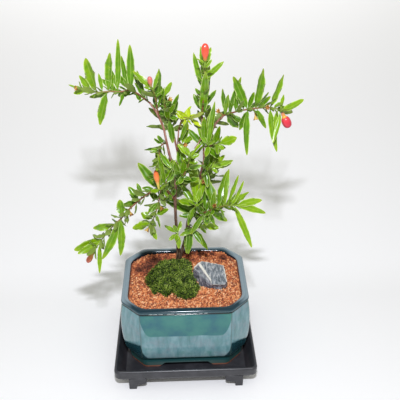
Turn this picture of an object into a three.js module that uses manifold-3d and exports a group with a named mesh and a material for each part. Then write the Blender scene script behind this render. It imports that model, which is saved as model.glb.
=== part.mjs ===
// A dwarf pomegranate bonsai in a glazed octagonal pot, standing on a moulded tray.
// Millimetres, +Z up, the front towards -Y. It is modelled round the tray's middle, and the last
// lines put the origin on the surface under the middle of the whole bonsai.
import * as THREE from 'three';
import Module from 'manifold-3d';
import { mergeVertices } from 'three/addons/utils/BufferGeometryUtils.js';
import { ConvexGeometry } from 'three/addons/geometries/ConvexGeometry.js';

const wasm = await Module();
wasm.setup();

// ---- Driving dimensions ------------------------------------------------------------------

const GAP = 0.3; // clear space between two pieces that rest on or in each other

const TRAY = { width: 170, depth: 158, height: 28.5, corner: 10, underside: 9, floor: 11 };
const TRAY_FOOT = { inset: 17, setBack: 1, foot: 9, head: 21, thickness: 12, step: 5.5, height: 19.5 };

const POT = { width: 150, depth: 125, corner: 22, edge: 2.2, rim: 104, centre: [1, 2.5] };
const POT_BASE = TRAY.floor + GAP;
const POT_ARCH = { height: 7, span: 66, slope: 7, sideSpan: 46, footDepth: 13 };
const POT_FLOOR = { underside: POT_BASE + POT_ARCH.height, top: POT_BASE + 12.5 };
const DRAIN = { radius: 7, offset: 30 };
const MESH = { side: 22, thickness: 1.2, strips: 4, strip: 2 };

const GRIT = { level: 99.5, grain: 0.9, step: 8 };
const TRUNK_FOOT = { x: -6, y: 37, bottom: 79, radius: 4.2 };
const LEAF = { keel: 1, petiole: 0.9 };
const LOOKED_DOWN = THREE.MathUtils.degToRad(31); // how steeply the display side is looked down on

// ---- Solids from rings of points ----------------------------------------------------------

const at = (x, y, z) => new THREE.Vector3(x, y, z);

// A closed body through equal rings of points, closed by a fan at each end.
function loft(rings, start, end) {
  const sides = rings[0].length;
  const points = [start, ...rings.flat(), end];
  const faces = [];
  const last = points.length - 1;
  for (let j = 0; j < sides; j++) {
    const k = (j + 1) % sides;
    faces.push([0, 1 + k, 1 + j]);
    faces.push([last, last - sides + j, last - sides + k]);
    for (let i = 0; i + 1 < rings.length; i++) {
      const [a, b] = [1 + i * sides + j, 1 + i * sides + k];
      const [c, d] = [a + sides, b + sides];
      faces.push([a, b, d], [a, d, c]);
    }
  }
  return solidOfFaces(points, faces);
}

function solidOfFaces(points, faces) {
  let volume = 0;
  for (const [a, b, c] of faces) {
    volume += points[a].dot(points[b].clone().cross(points[c]));
  }
  const outward = volume > 0 ? faces : faces.map(([a, b, c]) => [a, c, b]);
  return solidOfArrays(points.flatMap((p) => p.toArray()), outward.flat());
}

function solidOfGeometry(geometry) {
  const bare = geometry.index ? geometry.toNonIndexed() : geometry.clone();
  bare.deleteAttribute('normal');
  bare.deleteAttribute('uv');
  const merged = mergeVertices(bare, 1e-4);
  return solidOfArrays(merged.getAttribute('position').array, merged.index.array);
}

function solidOfArrays(positions, corners) {
  const vertProperties = new Float32Array(positions);
  const mesh = new wasm.Mesh({ numProp: 3, vertProperties, triVerts: new Uint32Array(corners) });
  return new wasm.Manifold(mesh);
}

function geometryOfSolid(solid) {
  const { vertProperties, triVerts } = solid.getMesh();
  const geometry = new THREE.BufferGeometry();
  geometry.setAttribute('position', new THREE.BufferAttribute(new Float32Array(vertProperties), 3));
  geometry.setIndex(new THREE.BufferAttribute(new Uint32Array(triVerts), 1));
  return geometry;
}

const joined = (solids) => solids.reduce((whole, solid) => whole.add(solid));

// The largest body of a solid: what a cut leaves loose is dropped.
function mainBody(solid) {
  const bodies = solid.decompose();
  return bodies.reduce((best, body) => (body.volume() > best.volume() ? body : best));
}

function box(low, high) {
  const geometry = new THREE.BoxGeometry(high[0] - low[0], high[1] - low[1], high[2] - low[2]);
  geometry.translate((low[0] + high[0]) / 2, (low[1] + high[1]) / 2, (low[2] + high[2]) / 2);
  return solidOfGeometry(geometry);
}

// A tapering round tube along a smooth curve, its ring carried along without twisting.
function tube(curve, radii, sides, steps) {
  const rings = [];
  const path = curve.getPoints(steps);
  let across = null;
  path.forEach((point, i) => {
    const along = path[Math.min(i + 1, steps)].clone().sub(path[Math.max(i - 1, 0)]).normalize();
    if (!across) across = Math.abs(along.y) > 0.9 ? at(1, 0, 0) : at(0, 1, 0);
    across = across.clone().addScaledVector(along, -across.dot(along)).normalize();
    const up = along.clone().cross(across);
    const radius = valueAlong(radii, i / steps);
    const ring = [];
    for (let j = 0; j < sides; j++) {
      const turn = (2 * Math.PI * j) / sides;
      const aside = across.clone().multiplyScalar(radius * Math.cos(turn));
      ring.push(aside.addScaledVector(up, radius * Math.sin(turn)).add(point));
    }
    rings.push(ring);
  });
  return loft(rings, path[0], path[steps]);
}

function valueAlong(values, share) {
  const place = share * (values.length - 1);
  const i = Math.min(Math.floor(place), values.length - 2);
  return values[i] + (values[i + 1] - values[i]) * (place - i);
}

function smoothCurve(route) {
  return new THREE.CatmullRomCurve3(route.map((p) => at(...p)), false, 'catmullrom', 0.5);
}

// Numbers that look random and are the same each time.
function seededDraw(seed) {
  let state = seed;
  return (low, high) => {
    state = (state * 48271) % 2147483647;
    return low + ((high - low) * state) / 2147483647;
  };
}

function extruded(outline, depth) {
  return new THREE.ExtrudeGeometry(outline, { depth, bevelEnabled: false, curveSegments: 3 });
}

// ---- Tray ---------------------------------------------------------------------------------

function roundedRectangle(width, depth, radius, z, stepsAtCorner = 3) {
  const ring = [];
  const corners = [[1, 1, 0], [-1, 1, 1], [-1, -1, 2], [1, -1, 3]];
  for (const [sx, sy, quarter] of corners) {
    for (let i = 0; i <= stepsAtCorner; i++) {
      const turn = (Math.PI / 2) * (quarter + i / stepsAtCorner);
      const x = sx * (width / 2 - radius) + radius * Math.cos(turn);
      const y = sy * (depth / 2 - radius) + radius * Math.sin(turn);
      ring.push(at(x, y, z));
    }
  }
  return ring;
}

function trayRing([inset, z]) {
  const radius = Math.max(TRAY.corner - inset, 3);
  return roundedRectangle(TRAY.width - 2 * inset, TRAY.depth - 2 * inset, radius, z);
}

// The wall's profiles as [distance in from the outer edge, height]: the outside has a band under
// its rim, the inside slopes down to the floor.
const TRAY_OUTSIDE = [
  [11, TRAY.underside], [9.5, TRAY.underside + 1.5], [5, TRAY.height - 8.4],
  [0.8, TRAY.height - 8], [0, TRAY.height - 1], [0.7, TRAY.height],
];
const TRAY_INSIDE = [
  [2.2, TRAY.height + 0.5], [2.4, TRAY.height - 0.7], [3.4, TRAY.height - 1.4],
  [10.4, TRAY.floor + 1.4], [12, TRAY.floor],
];

function makeTray() {
  let shell = loft(TRAY_OUTSIDE.map(trayRing), at(0, 0, TRAY.underside), at(0, 0, TRAY.height));
  for (const sx of [-1, 1]) {
    for (const sy of [-1, 1]) shell = shell.add(makeTrayFoot(sx, sy));
  }
  const above = at(0, 0, TRAY_INSIDE[0][1]);
  return shell.subtract(loft(TRAY_INSIDE.map(trayRing), above, at(0, 0, TRAY.floor)));
}

// A bracket foot: straight on its outer side, stepped in on its inner side.
function makeTrayFoot(sx, sy) {
  const { inset, setBack, foot, head, thickness, step, height } = TRAY_FOOT;
  const outline = new THREE.Shape();
  outline.moveTo(0, 0);
  outline.lineTo(foot, 0);
  outline.lineTo(foot, step - 2);
  outline.quadraticCurveTo(foot + 0.5, step + 1, foot + 5, step + 1.5);
  outline.quadraticCurveTo(head, step + 2.5, head, step + 6);
  outline.lineTo(head, height);
  outline.lineTo(0, height);
  const geometry = extruded(outline, thickness);
  geometry.rotateX(Math.PI / 2);
  geometry.translate(-TRAY.width / 2 + inset, -TRAY.depth / 2 + setBack + thickness, 0);
  if (sx > 0) mirror(geometry, 'x');
  if (sy > 0) mirror(geometry, 'y');
  return solidOfGeometry(geometry);
}

// Mirrors a geometry without an index, and turns its faces so that they still point out.
function mirror(geometry, axis) {
  geometry.scale(axis === 'x' ? -1 : 1, axis === 'y' ? -1 : 1, 1);
  const position = geometry.getAttribute('position');
  for (let i = 0; i < position.count; i += 3) {
    const first = at(0, 0, 0).fromBufferAttribute(position, i);
    const third = at(0, 0, 0).fromBufferAttribute(position, i + 2);
    position.setXYZ(i, ...third.toArray());
    position.setXYZ(i + 2, ...first.toArray());
  }
}

// ---- Pot ----------------------------------------------------------------------------------

const [POT_X, POT_Y] = POT.centre;
const SIDE_SHIFT = 2 - Math.SQRT2; // how much a cut corner shortens when all walls move in by 1

// The pot's plan: a rectangle with cut corners, each of its eight edges slightly rounded.
function octagon(inset, z) {
  const a = POT.width / 2 - inset;
  const b = POT.depth / 2 - inset;
  const cut = POT.corner - inset * SIDE_SHIFT;
  const right = [[a, -b + cut], [a, b - cut], [a - cut, b]];
  const left = [[-a + cut, b], [-a, b - cut], [-a, -b + cut]];
  const corners = [...right, ...left, [-a + cut, -b], [a - cut, -b]];
  const ring = [];
  corners.forEach(([x, y], i) => {
    for (const [qx, qy] of [corners[(i + 7) % 8], corners[(i + 1) % 8]]) {
      const share = Math.min(POT.edge / Math.hypot(qx - x, qy - y), 0.4);
      ring.push(at(POT_X + x + (qx - x) * share, POT_Y + y + (qy - y) * share, z));
    }
  });
  return ring;
}

// The wall's profiles as [distance in from the panels' plane at the rim, height].
const POT_OUTSIDE = [
  [6.5, POT_BASE], [5.2, POT_BASE + 9], [5.4, POT_BASE + 13], [6.2, POT_BASE + 16],
  [1.6, POT_BASE + 18.5], [0.2, POT_BASE + 24], [-1.4, 46], [-2.3, 62], [-2, 78], [-0.8, 90],
  [0.6, 97.5], [1.6, 98.8], [0.2, 99.6], [-0.2, 101.6], [0.4, 103.3], [1.8, POT.rim],
];
const POT_INSIDE = [
  [5.6, POT.rim + 0.2], [6.8, POT.rim - 0.5], [7.4, POT.rim - 2], [7.6, 96],
  [6.2, 80], [6, 60], [8.5, 38], [13, POT_FLOOR.top],
];

// A solid through octagons, from a profile of [inset, height].
function octagonal(profile) {
  const [first, last] = [profile[0], profile[profile.length - 1]];
  const rings = profile.map(([inset, z]) => octagon(inset, z));
  return loft(rings, at(POT_X, POT_Y, first[1]), at(POT_X, POT_Y, last[1]));
}

function makePot() {
  let pot = octagonal(POT_OUTSIDE).subtract(octagonal(POT_INSIDE)).subtract(underPot());
  for (const side of [-1, 1]) {
    const hole = new THREE.CylinderGeometry(DRAIN.radius, DRAIN.radius, 20, 16);
    hole.rotateX(Math.PI / 2);
    hole.translate(POT_X + side * DRAIN.offset, POT_Y, POT_FLOOR.top - 5);
    pot = pot.subtract(solidOfGeometry(hole));
  }
  return pot;
}

// The hollow inside the foot ring, with the arch between the feet on each side.
function underPot() {
  const inset = POT_ARCH.footDepth;
  const middle = octagonal([[inset, POT_BASE - 1], [inset + 1, POT_FLOOR.underside]]);
  const alongY = arch(POT_ARCH.span, POT.depth + 10);
  const alongX = arch(POT_ARCH.sideSpan, POT.width + 10);
  alongX.rotateZ(Math.PI / 2);
  alongX.translate(POT_X, POT_Y, 0);
  alongY.translate(POT_X, POT_Y, 0);
  return joined([middle, solidOfGeometry(alongX), solidOfGeometry(alongY)]);
}

function arch(span, length) {
  const { height, slope } = POT_ARCH;
  const outline = new THREE.Shape();
  outline.moveTo(-span / 2 - 1, -1);
  outline.lineTo(span / 2 + 1, -1);
  outline.lineTo(span / 2 - slope, height);
  outline.lineTo(-span / 2 + slope, height);
  const geometry = extruded(outline, length);
  geometry.rotateX(Math.PI / 2);
  return geometry.translate(0, length / 2, POT_BASE);
}

// A square of plastic mesh, of crossed strips, over each drain hole keeps the grit in.
function makeDrainMesh(side) {
  const { side: width, thickness, strips, strip } = MESH;
  const [x, y, z] = [POT_X + side * DRAIN.offset, POT_Y, POT_FLOOR.top + GAP];
  const half = width / 2;
  const parts = [];
  for (let i = 0; i < strips; i++) {
    const start = -half + (i * (width - strip)) / (strips - 1);
    parts.push(box([x + start, y - half, z], [x + start + strip, y + half, z + thickness]));
    parts.push(box([x - half, y + start, z], [x + half, y + start + strip, z + thickness]));
  }
  return joined(parts);
}

// ---- Grit, moss and rock ------------------------------------------------------------------

// A block over a grid of square cells, between a lower and an upper surface.
function reliefBlock([x0, y0], [x1, y1], step, lower, upper) {
  const nx = Math.ceil((x1 - x0) / step);
  const ny = Math.ceil((y1 - y0) / step);
  const points = [];
  for (const height of [lower, upper]) {
    for (let j = 0; j <= ny; j++) {
      for (let i = 0; i <= nx; i++) {
        const [x, y] = [x0 + i * step, y0 + j * step];
        points.push(at(x, y, height(x, y)));
      }
    }
  }
  const id = (layer, i, j) => layer * (nx + 1) * (ny + 1) + j * (nx + 1) + i;
  const faces = [];
  const quad = (a, b, c, d) => faces.push([a, b, c], [a, c, d]);
  for (let j = 0; j < ny; j++) {
    for (let i = 0; i < nx; i++) {
      quad(id(1, i, j), id(1, i + 1, j), id(1, i + 1, j + 1), id(1, i, j + 1));
      quad(id(0, i, j + 1), id(0, i + 1, j + 1), id(0, i + 1, j), id(0, i, j));
    }
  }
  for (let i = 0; i < nx; i++) {
    quad(id(0, i, 0), id(0, i + 1, 0), id(1, i + 1, 0), id(1, i, 0));
    quad(id(0, i + 1, ny), id(0, i, ny), id(1, i, ny), id(1, i + 1, ny));
  }
  for (let j = 0; j < ny; j++) {
    quad(id(0, 0, j + 1), id(0, 0, j), id(1, 0, j), id(1, 0, j + 1));
    quad(id(0, nx, j), id(0, nx, j + 1), id(1, nx, j + 1), id(1, nx, j));
  }
  return solidOfFaces(points, faces);
}

// The grit's surface: higher by the trunk, with a grainy relief.
function gritTop(x, y) {
  const mound = 1.2 * Math.exp(-(((x - TRUNK_FOOT.x) ** 2 + (y - TRUNK_FOOT.y) ** 2) / 1200));
  const grain = Math.sin(x * 1.7 + 2.1 * Math.sin(y * 0.9)) * Math.cos(y * 1.3 + 1.7 * Math.sin(x * 0.7));
  return GRIT.level + mound + GRIT.grain * grain;
}

// A block as wide as the pot under the grit's surface, raised by a small height.
function gritBlock(raised) {
  const low = [POT_X - POT.width / 2, POT_Y - POT.depth / 2];
  const high = [POT_X + POT.width / 2, POT_Y + POT.depth / 2];
  return reliefBlock(low, high, GRIT.step, () => 0, (x, y) => gritTop(x, y) + raised);
}

// The rock's corners: the six on top, then the ring sunk into the grit.
const ROCK_POINTS = [
  [19, 21, 113], [48, 15, 109], [52, -12, 107], [32, -15, 110], [12, 18, 108], [11, 8, 103.5],
  [28, -20, 96], [18, -13, 96], [9, 6, 96], [11, 20, 96], [20, 26, 96], [51, 20, 96],
  [55, -11, 96], [50, -17, 96], [41, -21, 96],
];

function makeRock(growth = 1) {
  const middle = at(0, 0, 0);
  ROCK_POINTS.forEach((p) => middle.add(at(...p)));
  middle.divideScalar(ROCK_POINTS.length);
  const points = ROCK_POINTS.map((p) => at(...p).sub(middle).multiplyScalar(growth).add(middle));
  return solidOfGeometry(new ConvexGeometry(points));
}

// The hole for the trunk, from just below its foot to well above the moss.
function trunkHole(radius) {
  const height = POT.rim + 20 - TRUNK_FOOT.bottom;
  const hole = new THREE.CylinderGeometry(radius, radius, height, 16);
  hole.rotateX(Math.PI / 2);
  hole.translate(TRUNK_FOOT.x, TRUNK_FOOT.y, TRUNK_FOOT.bottom - GAP + height / 2);
  return solidOfGeometry(hole);
}

function makeGrit(roomForRock) {
  const bottom = POT_FLOOR.top + GAP;
  const lid = bottom + MESH.thickness + GAP;
  const profile = POT_INSIDE.map(([wall, z]) => [wall + GAP + 0.05, Math.max(z, bottom)]);
  let grit = octagonal(profile).intersect(gritBlock(0));
  for (const side of [-1, 1]) {
    const reach = MESH.side / 2 + GAP;
    const x = POT_X + side * DRAIN.offset;
    const meshRoom = box([x - reach, POT_Y - reach, bottom - 1], [x + reach, POT_Y + reach, lid]);
    grit = grit.subtract(meshRoom);
  }
  return grit.subtract(roomForRock).subtract(trunkHole(TRUNK_FOOT.radius + GAP));
}

const MOSS = { step: 7, edgeDepth: 2.2, swell: 3.2, swellWithin: 10, lumps: 0.9 };
const MOSS_OUTLINE = [
  [-45, -3], [-44, 11], [-36, 25], [-26, 38], [-14, 37], [-8, 43], [0, 41], [8, 33], [10, 22],
  [9, 10], [14, -4], [19, -19], [9, -34], [-7, -33], [-15, -21], [-21, -31], [-31, -20],
  [-35, -28], [-41, -12],
];

// How far a place is from the moss's outline.
function edgeDistance(x, y) {
  const sides = MOSS_OUTLINE.map(([ax, ay], i) => {
    const [bx, by] = MOSS_OUTLINE[(i + 1) % MOSS_OUTLINE.length];
    const side = new THREE.Line3(at(ax, ay, 0), at(bx, by, 0));
    return side.closestPointToPoint(at(x, y, 0), true, at(0, 0, 0)).distanceTo(at(x, y, 0));
  });
  return Math.min(...sides);
}

// The moss's top: thin at its edge, with lumps.
function mossTop(x, y) {
  const wave = Math.sin(x * 0.62 + 1.3 * Math.sin(y * 0.31));
  const lumps = MOSS.lumps * wave * Math.cos(y * 0.55 + Math.sin(x * 0.4));
  const swell = MOSS.swell * Math.min(edgeDistance(x, y) / MOSS.swellWithin, 1);
  return gritTop(x, y) + MOSS.edgeDepth + swell + lumps;
}

// The moss lies on the grit: its underside is the grit's relief raised by the gap.
function makeMoss(roomForRock) {
  const low = GRIT.level - 10;
  const patch = new THREE.Shape(MOSS_OUTLINE.map(([x, y]) => new THREE.Vector2(x, y)));
  const prism = solidOfGeometry(extruded(patch, 30).translate(0, 0, low));
  const mound = reliefBlock([-50, -38], [20, 46], MOSS.step, () => low, mossTop);
  const clump = mound.intersect(prism).subtract(gritBlock(GAP)).subtract(roomForRock);
  return mainBody(clump.subtract(trunkHole(TRUNK_FOOT.radius + 2 * GAP)));
}

// ---- Trunk --------------------------------------------------------------------------------

// Each limb: its route, and its radius from root to end.
const LIMBS = [
  {
    sides: 8, steps: 20, radii: [4, 3.6, 2.5, 1.9, 1.8, 1.8, 1.7, 1.6, 1.5, 1.4, 1.3, 1.2, 1.2, 1.1, 1.1],
    route: [
      [-6, 37, 79], [-6, 37, 100], [-6, 34, 122], [-7, 30, 148], [-8, 25, 176], [-8, 20, 204],
      [-7, 16, 226], [-7, 13, 244], [-12, 10, 265], [-14, 9, 276], [-16, 9, 288], [-18, 9, 300],
      [-21, 9, 309], [-25, 8, 319], [-31, 6, 330],
    ],
  },
  {
    sides: 5, steps: 6, radii: [1.3, 1.2, 1],
    route: [
      [-7, 13, 244], [-4, 16, 258], [-4, 18, 267], [-6, 20, 278], [-8, 22, 289], [-12, 23, 301],
    ],
  },
  {
    sides: 5, steps: 3, radii: [0.9, 0.8],
    route: [
      [-4, 18, 267], [-3, 22, 280], [-2, 25, 291],
    ],
  },
  {
    sides: 6, steps: 16, radii: [2.4, 2, 1.8, 1.7, 1.6, 1.6, 1.5, 1.4, 1.3, 1.2, 1.1, 1.1],
    route: [
      [-6, 37, 103], [0, 38, 124], [4, 37, 143], [7, 35, 166], [14, 33, 189], [20, 31, 210],
      [22, 29, 231], [26, 26, 252], [30, 23, 269], [33, 20, 285], [38, 16, 301], [46, 12, 312],
    ],
  },
  {
    sides: 5, steps: 5, radii: [1.2, 1, 0.9],
    route: [
      [26, 26, 252], [25, 20, 272], [24, 16, 292], [23, 13, 309],
    ],
  },
  {
    sides: 5, steps: 3, radii: [0.8, 0.7],
    route: [
      [24, 17, 288], [19, 12, 280], [15, 8, 276],
    ],
  },
];

const grown = (radii, extra) => radii.map((radius) => radius + extra);

// The trunk with its limbs, thicker by an extra on all sides when it makes room.
function makeTrunk(extra = 0) {
  return joined(LIMBS.map(({ route, radii, sides, steps }) => {
    return tube(smoothCurve(route), grown(radii, extra), sides, steps);
  }));
}

// ---- Buds ---------------------------------------------------------------------------------

// Each bud stands on the end of its stalk: where it starts and ends, its greatest radius, and
// its outline as [share of the length, share of the radius].
const PLUMP = [
  [0, 0.3], [0.12, 0.55], [0.3, 0.62], [0.45, 0.9], [0.65, 1], [0.82, 0.88], [0.94, 0.55],
];
const SLENDER = [[0, 0.35], [0.2, 0.6], [0.35, 0.7], [0.55, 1], [0.75, 0.95], [0.9, 0.6]];
const BUD_SIDES = 8;
const BUDS = [
  {
    name: 'bud_top', from: [26, 4, 373.5], to: [26, 4, 392],
    radius: 3.9, outline: PLUMP, color: 0xe04a3c,
  },
  {
    name: 'bud_right', from: [105, -7, 322], to: [113, -9, 306],
    radius: 4.4, outline: PLUMP, color: 0xdd3f3a,
  },
  {
    name: 'bud_middle', from: [-25, -12, 237.5], to: [-28, -14, 262],
    radius: 3, outline: SLENDER, color: 0xe8703a,
  },
  {
    name: 'bud_low', from: [-101, -27, 166], to: [-109, -29, 153.5],
    radius: 3.2, outline: PLUMP, color: 0xc96a44,
  },
  {
    name: 'bud_crest', from: [-29, 0, 349], to: [-30, -1, 361],
    radius: 2.7, outline: PLUMP, color: 0xd9796a,
  },
];

function makeBud({ from, to, radius, outline }) {
  const [start, end] = [at(...from), at(...to)];
  const along = end.clone().sub(start).normalize();
  const across = at(0, 1, 0).addScaledVector(along, -along.y).normalize();
  const up = along.clone().cross(across);
  const rings = outline.map(([place, share]) => {
    const ring = [];
    for (let j = 0; j < BUD_SIDES; j++) {
      const turn = (2 * Math.PI * j) / BUD_SIDES;
      const point = start.clone().lerp(end, place);
      point.addScaledVector(across, radius * share * Math.cos(turn));
      ring.push(point.addScaledVector(up, radius * share * Math.sin(turn)));
    }
    return ring;
  });
  return loft(rings, start, end);
}

// ---- Leafy sprays -------------------------------------------------------------------------

// Each spray: its stem's radius at root and end, the stem's route, which starts inside the wood
// or stem that carries it, and its leaves as [place on the stem 0-1, heading seen from the front
// (0 right, 90 up), length, width]. Further leaves stand by rule: fill towards the front and the
// back, around all round the stem.
const SPRAYS = [
  {
    name: 'spray_upper_left', radius: [1, 0.7], fill: 6,
    route: [
      [-31, 6, 330], [-37, 4, 336], [-43, 2, 342], [-50, 1, 346], [-61, 0, 345], [-71, -1, 346],
      [-81, -3, 346], [-91, -5, 348], [-98, -6, 351],
    ],
    leaves: [
      [0.78, 115, 40, 11], [0.84, 125, 20, 6], [0.93, -170, 13, 5], [0.63, 95, 46, 8],
      [0.52, 90, 54, 6], [0.41, 100, 40, 5], [0.37, 90, 45, 8], [0.38, 125, 24, 6],
      [0.59, 90, 27, 4], [0.71, 100, 19, 4], [0.65, -115, 35, 9], [0.45, -110, 15, 6],
      [0.33, -170, 17, 6], [0.29, -55, 10, 5], [0.08, 110, 29, 5], [0.13, 100, 32, 5],
      [0.52, 135, 21, 6], [0.51, 105, 29, 4],
    ],
  },
  {
    name: 'spray_left_crest', radius: [0.9, 0.7], fill: 3,
    route: [
      [-22, 9, 311], [-24, 7, 324], [-25, 5, 335], [-27, 2, 344], [-29, 0, 349],
    ],
    leaves: [
      [0.38, 85, 36, 9], [0.72, 130, 18, 5], [0.12, 160, 27, 6], [0.16, 130, 17, 4],
      [0.2, 105, 17, 4], [0.78, 72, 19, 4],
    ],
  },
  {
    name: 'spray_crest', radius: [0.9, 0.7], fill: 4,
    route: [
      [-12, 23, 301], [-14, 20, 311], [-16, 17, 323], [-17, 15, 335],
    ],
    leaves: [
      [0.9, 70, 21, 6], [0.3, 100, 35, 8], [0.4, 110, 32, 5], [0.2, 55, 20, 7], [0.3, -20, 12, 5],
      [0.25, 140, 14, 6], [0.7, 115, 19, 5], [0.47, 70, 15, 5], [0.15, -75, 26, 7],
    ],
  },
  {
    name: 'spray_yellow', radius: [0.8, 0.6], fill: 2,
    route: [
      [-2, 25, 291], [1, 22, 302], [5, 18, 308], [12, 14, 307],
    ],
    leaves: [
      [0.51, 65, 16, 5], [0.75, 165, 13, 6], [0.95, 150, 17, 6], [0.9, 100, 12, 5], [1, -30, 12, 5],
      [0.6, -70, 14, 5],
    ],
  },
  {
    name: 'spray_top', radius: [0.9, 1.1], fill: 4,
    route: [
      [23, 13, 309], [24, 10, 326], [24, 8, 342], [25, 6, 356], [26, 4, 373],
    ],
    leaves: [
      [0.52, 105, 38, 6], [0.82, 100, 30, 4], [0.71, 45, 27, 6], [0.12, 82, 50, 8],
      [0.36, 125, 14, 4], [0.12, 115, 20, 6], [0.15, 30, 10, 4], [0.89, 55, 12, 3],
    ],
  },
  {
    name: 'spray_right', radius: [1, 0.7], fill: 7,
    route: [
      [46, 12, 312], [54, 9, 316], [65, 6, 320], [77, 3, 323], [88, 0, 325], [99, -3, 325],
      [105, -7, 323],
    ],
    leaves: [
      [0.06, 100, 30, 5], [0.11, 70, 41, 6], [0.41, 110, 39, 9], [0.17, 100, 16, 4],
      [0.23, 80, 19, 5], [0.36, 100, 20, 9], [0.41, 65, 19, 6], [0.52, 70, 45, 10],
      [0.55, 40, 18, 6], [0.74, 60, 38, 8], [0.95, 78, 19, 4], [0.97, 25, 28, 8],
      [0.43, -115, 24, 8], [0.41, -95, 47, 7], [0.49, -50, 18, 6], [0.54, -65, 25, 6],
      [0.74, -85, 45, 7], [0.88, -105, 20, 5], [0.95, -95, 33, 5], [0.98, -60, 26, 3],
      [0.05, -45, 21, 9], [0.08, -20, 17, 5], [0.13, -20, 10, 4], [0.79, 40, 10, 4],
    ],
  },
  {
    name: 'spray_right_high', radius: [0.9, 0.7], fill: 2,
    route: [
      [30, 23, 269], [35, 16, 276], [41, 9, 280],
    ],
    leaves: [
      [1, 20, 22, 10], [0.5, 70, 14, 5], [0.9, -85, 10, 7], [0.5, -15, 16, 5],
    ],
  },
  {
    name: 'spray_right_middle', radius: [0.9, 0.7], fill: 3,
    route: [
      [24, 27, 244], [29, 18, 245], [34, 9, 252],
    ],
    leaves: [
      [1, 60, 19, 5], [1, 40, 20, 6], [1, 10, 26, 7], [0.5, 0, 15, 5], [0.6, 75, 43, 10],
      [0.4, 100, 22, 7],
    ],
  },
  {
    name: 'spray_upper_middle', radius: [0.8, 0.7], fill: 2,
    route: [
      [25, 20, 272], [28, 13, 276], [31, 6, 281],
    ],
    leaves: [
      [0.4, 130, 27, 7], [0.8, 95, 41, 8], [0.7, 115, 22, 5],
    ],
  },
  {
    name: 'spray_inner_left', radius: [0.7, 0.6], fill: 1,
    route: [
      [-3, 22, 280], [0, 15, 279], [3, 9, 278],
    ],
    leaves: [
      [0.7, 75, 20, 7], [0.8, 45, 20, 6], [1, -60, 12, 6],
    ],
  },
  {
    name: 'spray_centre', radius: [1, 0.7], fill: 4,
    route: [
      [-7, 16, 226], [0, 5, 241], [7, -3, 260], [10, -8, 276],
    ],
    leaves: [
      [0.47, 100, 28, 10], [0.32, 100, 17, 7], [0.44, -120, 12, 6], [0.94, 130, 18, 6],
      [0.67, 65, 18, 7], [0.6, 10, 16, 6],
    ],
  },
  {
    name: 'spray_centre_tall', radius: [1, 0.8], fill: 3,
    route: [
      [14, 33, 189], [15, 18, 196], [17, 3, 209],
    ],
    leaves: [
      [1, 95, 56, 11], [0.6, 120, 28, 8], [0.9, 78, 46, 8], [0.8, 160, 22, 8],
    ],
  },
  {
    name: 'spray_low_right', radius: [1, 0.7], fill: 7,
    route: [
      [9, 35, 171], [21, 20, 184], [30, 8, 195], [38, -2, 205], [49, -8, 212], [60, -12, 214],
    ],
    leaves: [
      [0.16, 150, 45, 12], [0.25, 135, 19, 6], [0.34, 85, 28, 10], [0.56, 95, 34, 11],
      [0.65, 80, 40, 8], [0.78, 85, 39, 6], [0.82, 65, 36, 5], [0.6, 55, 16, 6], [0.88, 40, 25, 8],
      [0.67, 15, 24, 5], [1, 15, 30, 8], [1, -10, 38, 7], [0.96, -65, 52, 7], [0.44, -30, 25, 8],
      [0.38, -95, 18, 7], [0.4, -65, 18, 5], [0.93, 60, 30, 4], [0.18, -175, 24, 7],
      [0.22, 100, 22, 8],
    ],
  },
  {
    name: 'spray_low_centre', radius: [0.9, 0.6], fill: 2,
    route: [
      [7, 35, 163], [10, 26, 160], [18, 22, 164], [25, 20, 167],
    ],
    leaves: [
      [0.6, -150, 22, 6], [0.22, -90, 34, 8], [0.2, -103, 27, 5], [1, -5, 19, 8], [0.5, -60, 34, 8],
      [0.85, 30, 14, 6],
    ],
  },
  {
    name: 'spray_trunk_tuft', radius: [0.8, 0.6], fill: 0,
    route: [
      [-7, 29, 153], [-6, 22, 156],
    ],
    leaves: [
      [1, -85, 20, 6], [0.9, -140, 14, 5], [0.9, 150, 18, 5], [1, 75, 14, 5],
    ],
  },
  {
    name: 'spray_left_arch', radius: [0.8, 0.6], fill: 2,
    route: [
      [-15, 9, 282], [-20, 5, 283], [-23, 1, 278], [-24, -3, 265], [-24, -6, 253],
    ],
    leaves: [
      [0.52, 170, 9, 5], [0.69, -140, 10, 4], [0.55, -55, 21, 6], [0.89, 60, 16, 6],
    ],
  },
  {
    name: 'spray_left_middle', radius: [0.9, 0.7], fill: 3,
    route: [
      [-8, 14, 239], [-14, 5, 241], [-19, -1, 236], [-23, -8, 234], [-25, -12, 238],
    ],
    leaves: [
      [0.3, 110, 32, 9], [0.5, 95, 26, 7], [0.45, 50, 20, 6], [0.2, 80, 24, 7],
    ],
  },
  {
    name: 'spray_low_left', radius: [1.3, 0.6], fill: 5,
    route: [
      [-8, 20, 204], [-14, 12, 217], [-20, 5, 229], [-33, 0, 228], [-48, -6, 220], [-59, -11, 212],
      [-67, -15, 204], [-78, -19, 195], [-87, -22, 185], [-93, -24, 178], [-101, -27, 166],
    ],
    leaves: [
      [0.26, 120, 35, 10], [0.28, 165, 14, 5], [0.4, 120, 18, 7], [0.38, 95, 17, 5],
      [0.41, 140, 12, 4], [0.4, -155, 20, 7], [0.6, 100, 18, 10], [0.62, -110, 50, 9],
      [0.62, -85, 43, 8], [0.69, -170, 23, 8], [0.85, -155, 36, 10], [0.9, -150, 28, 8],
      [0.91, -90, 35, 5],
    ],
  },
  {
    name: 'spray_hanging', parent: 'spray_low_left', radius: [0.8, 0.6], fill: 2,
    route: [
      [-23, 4, 230], [-25, -1, 221], [-27, -4, 213], [-30, -8, 205], [-33, -11, 198],
      [-37, -14, 192],
    ],
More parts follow.
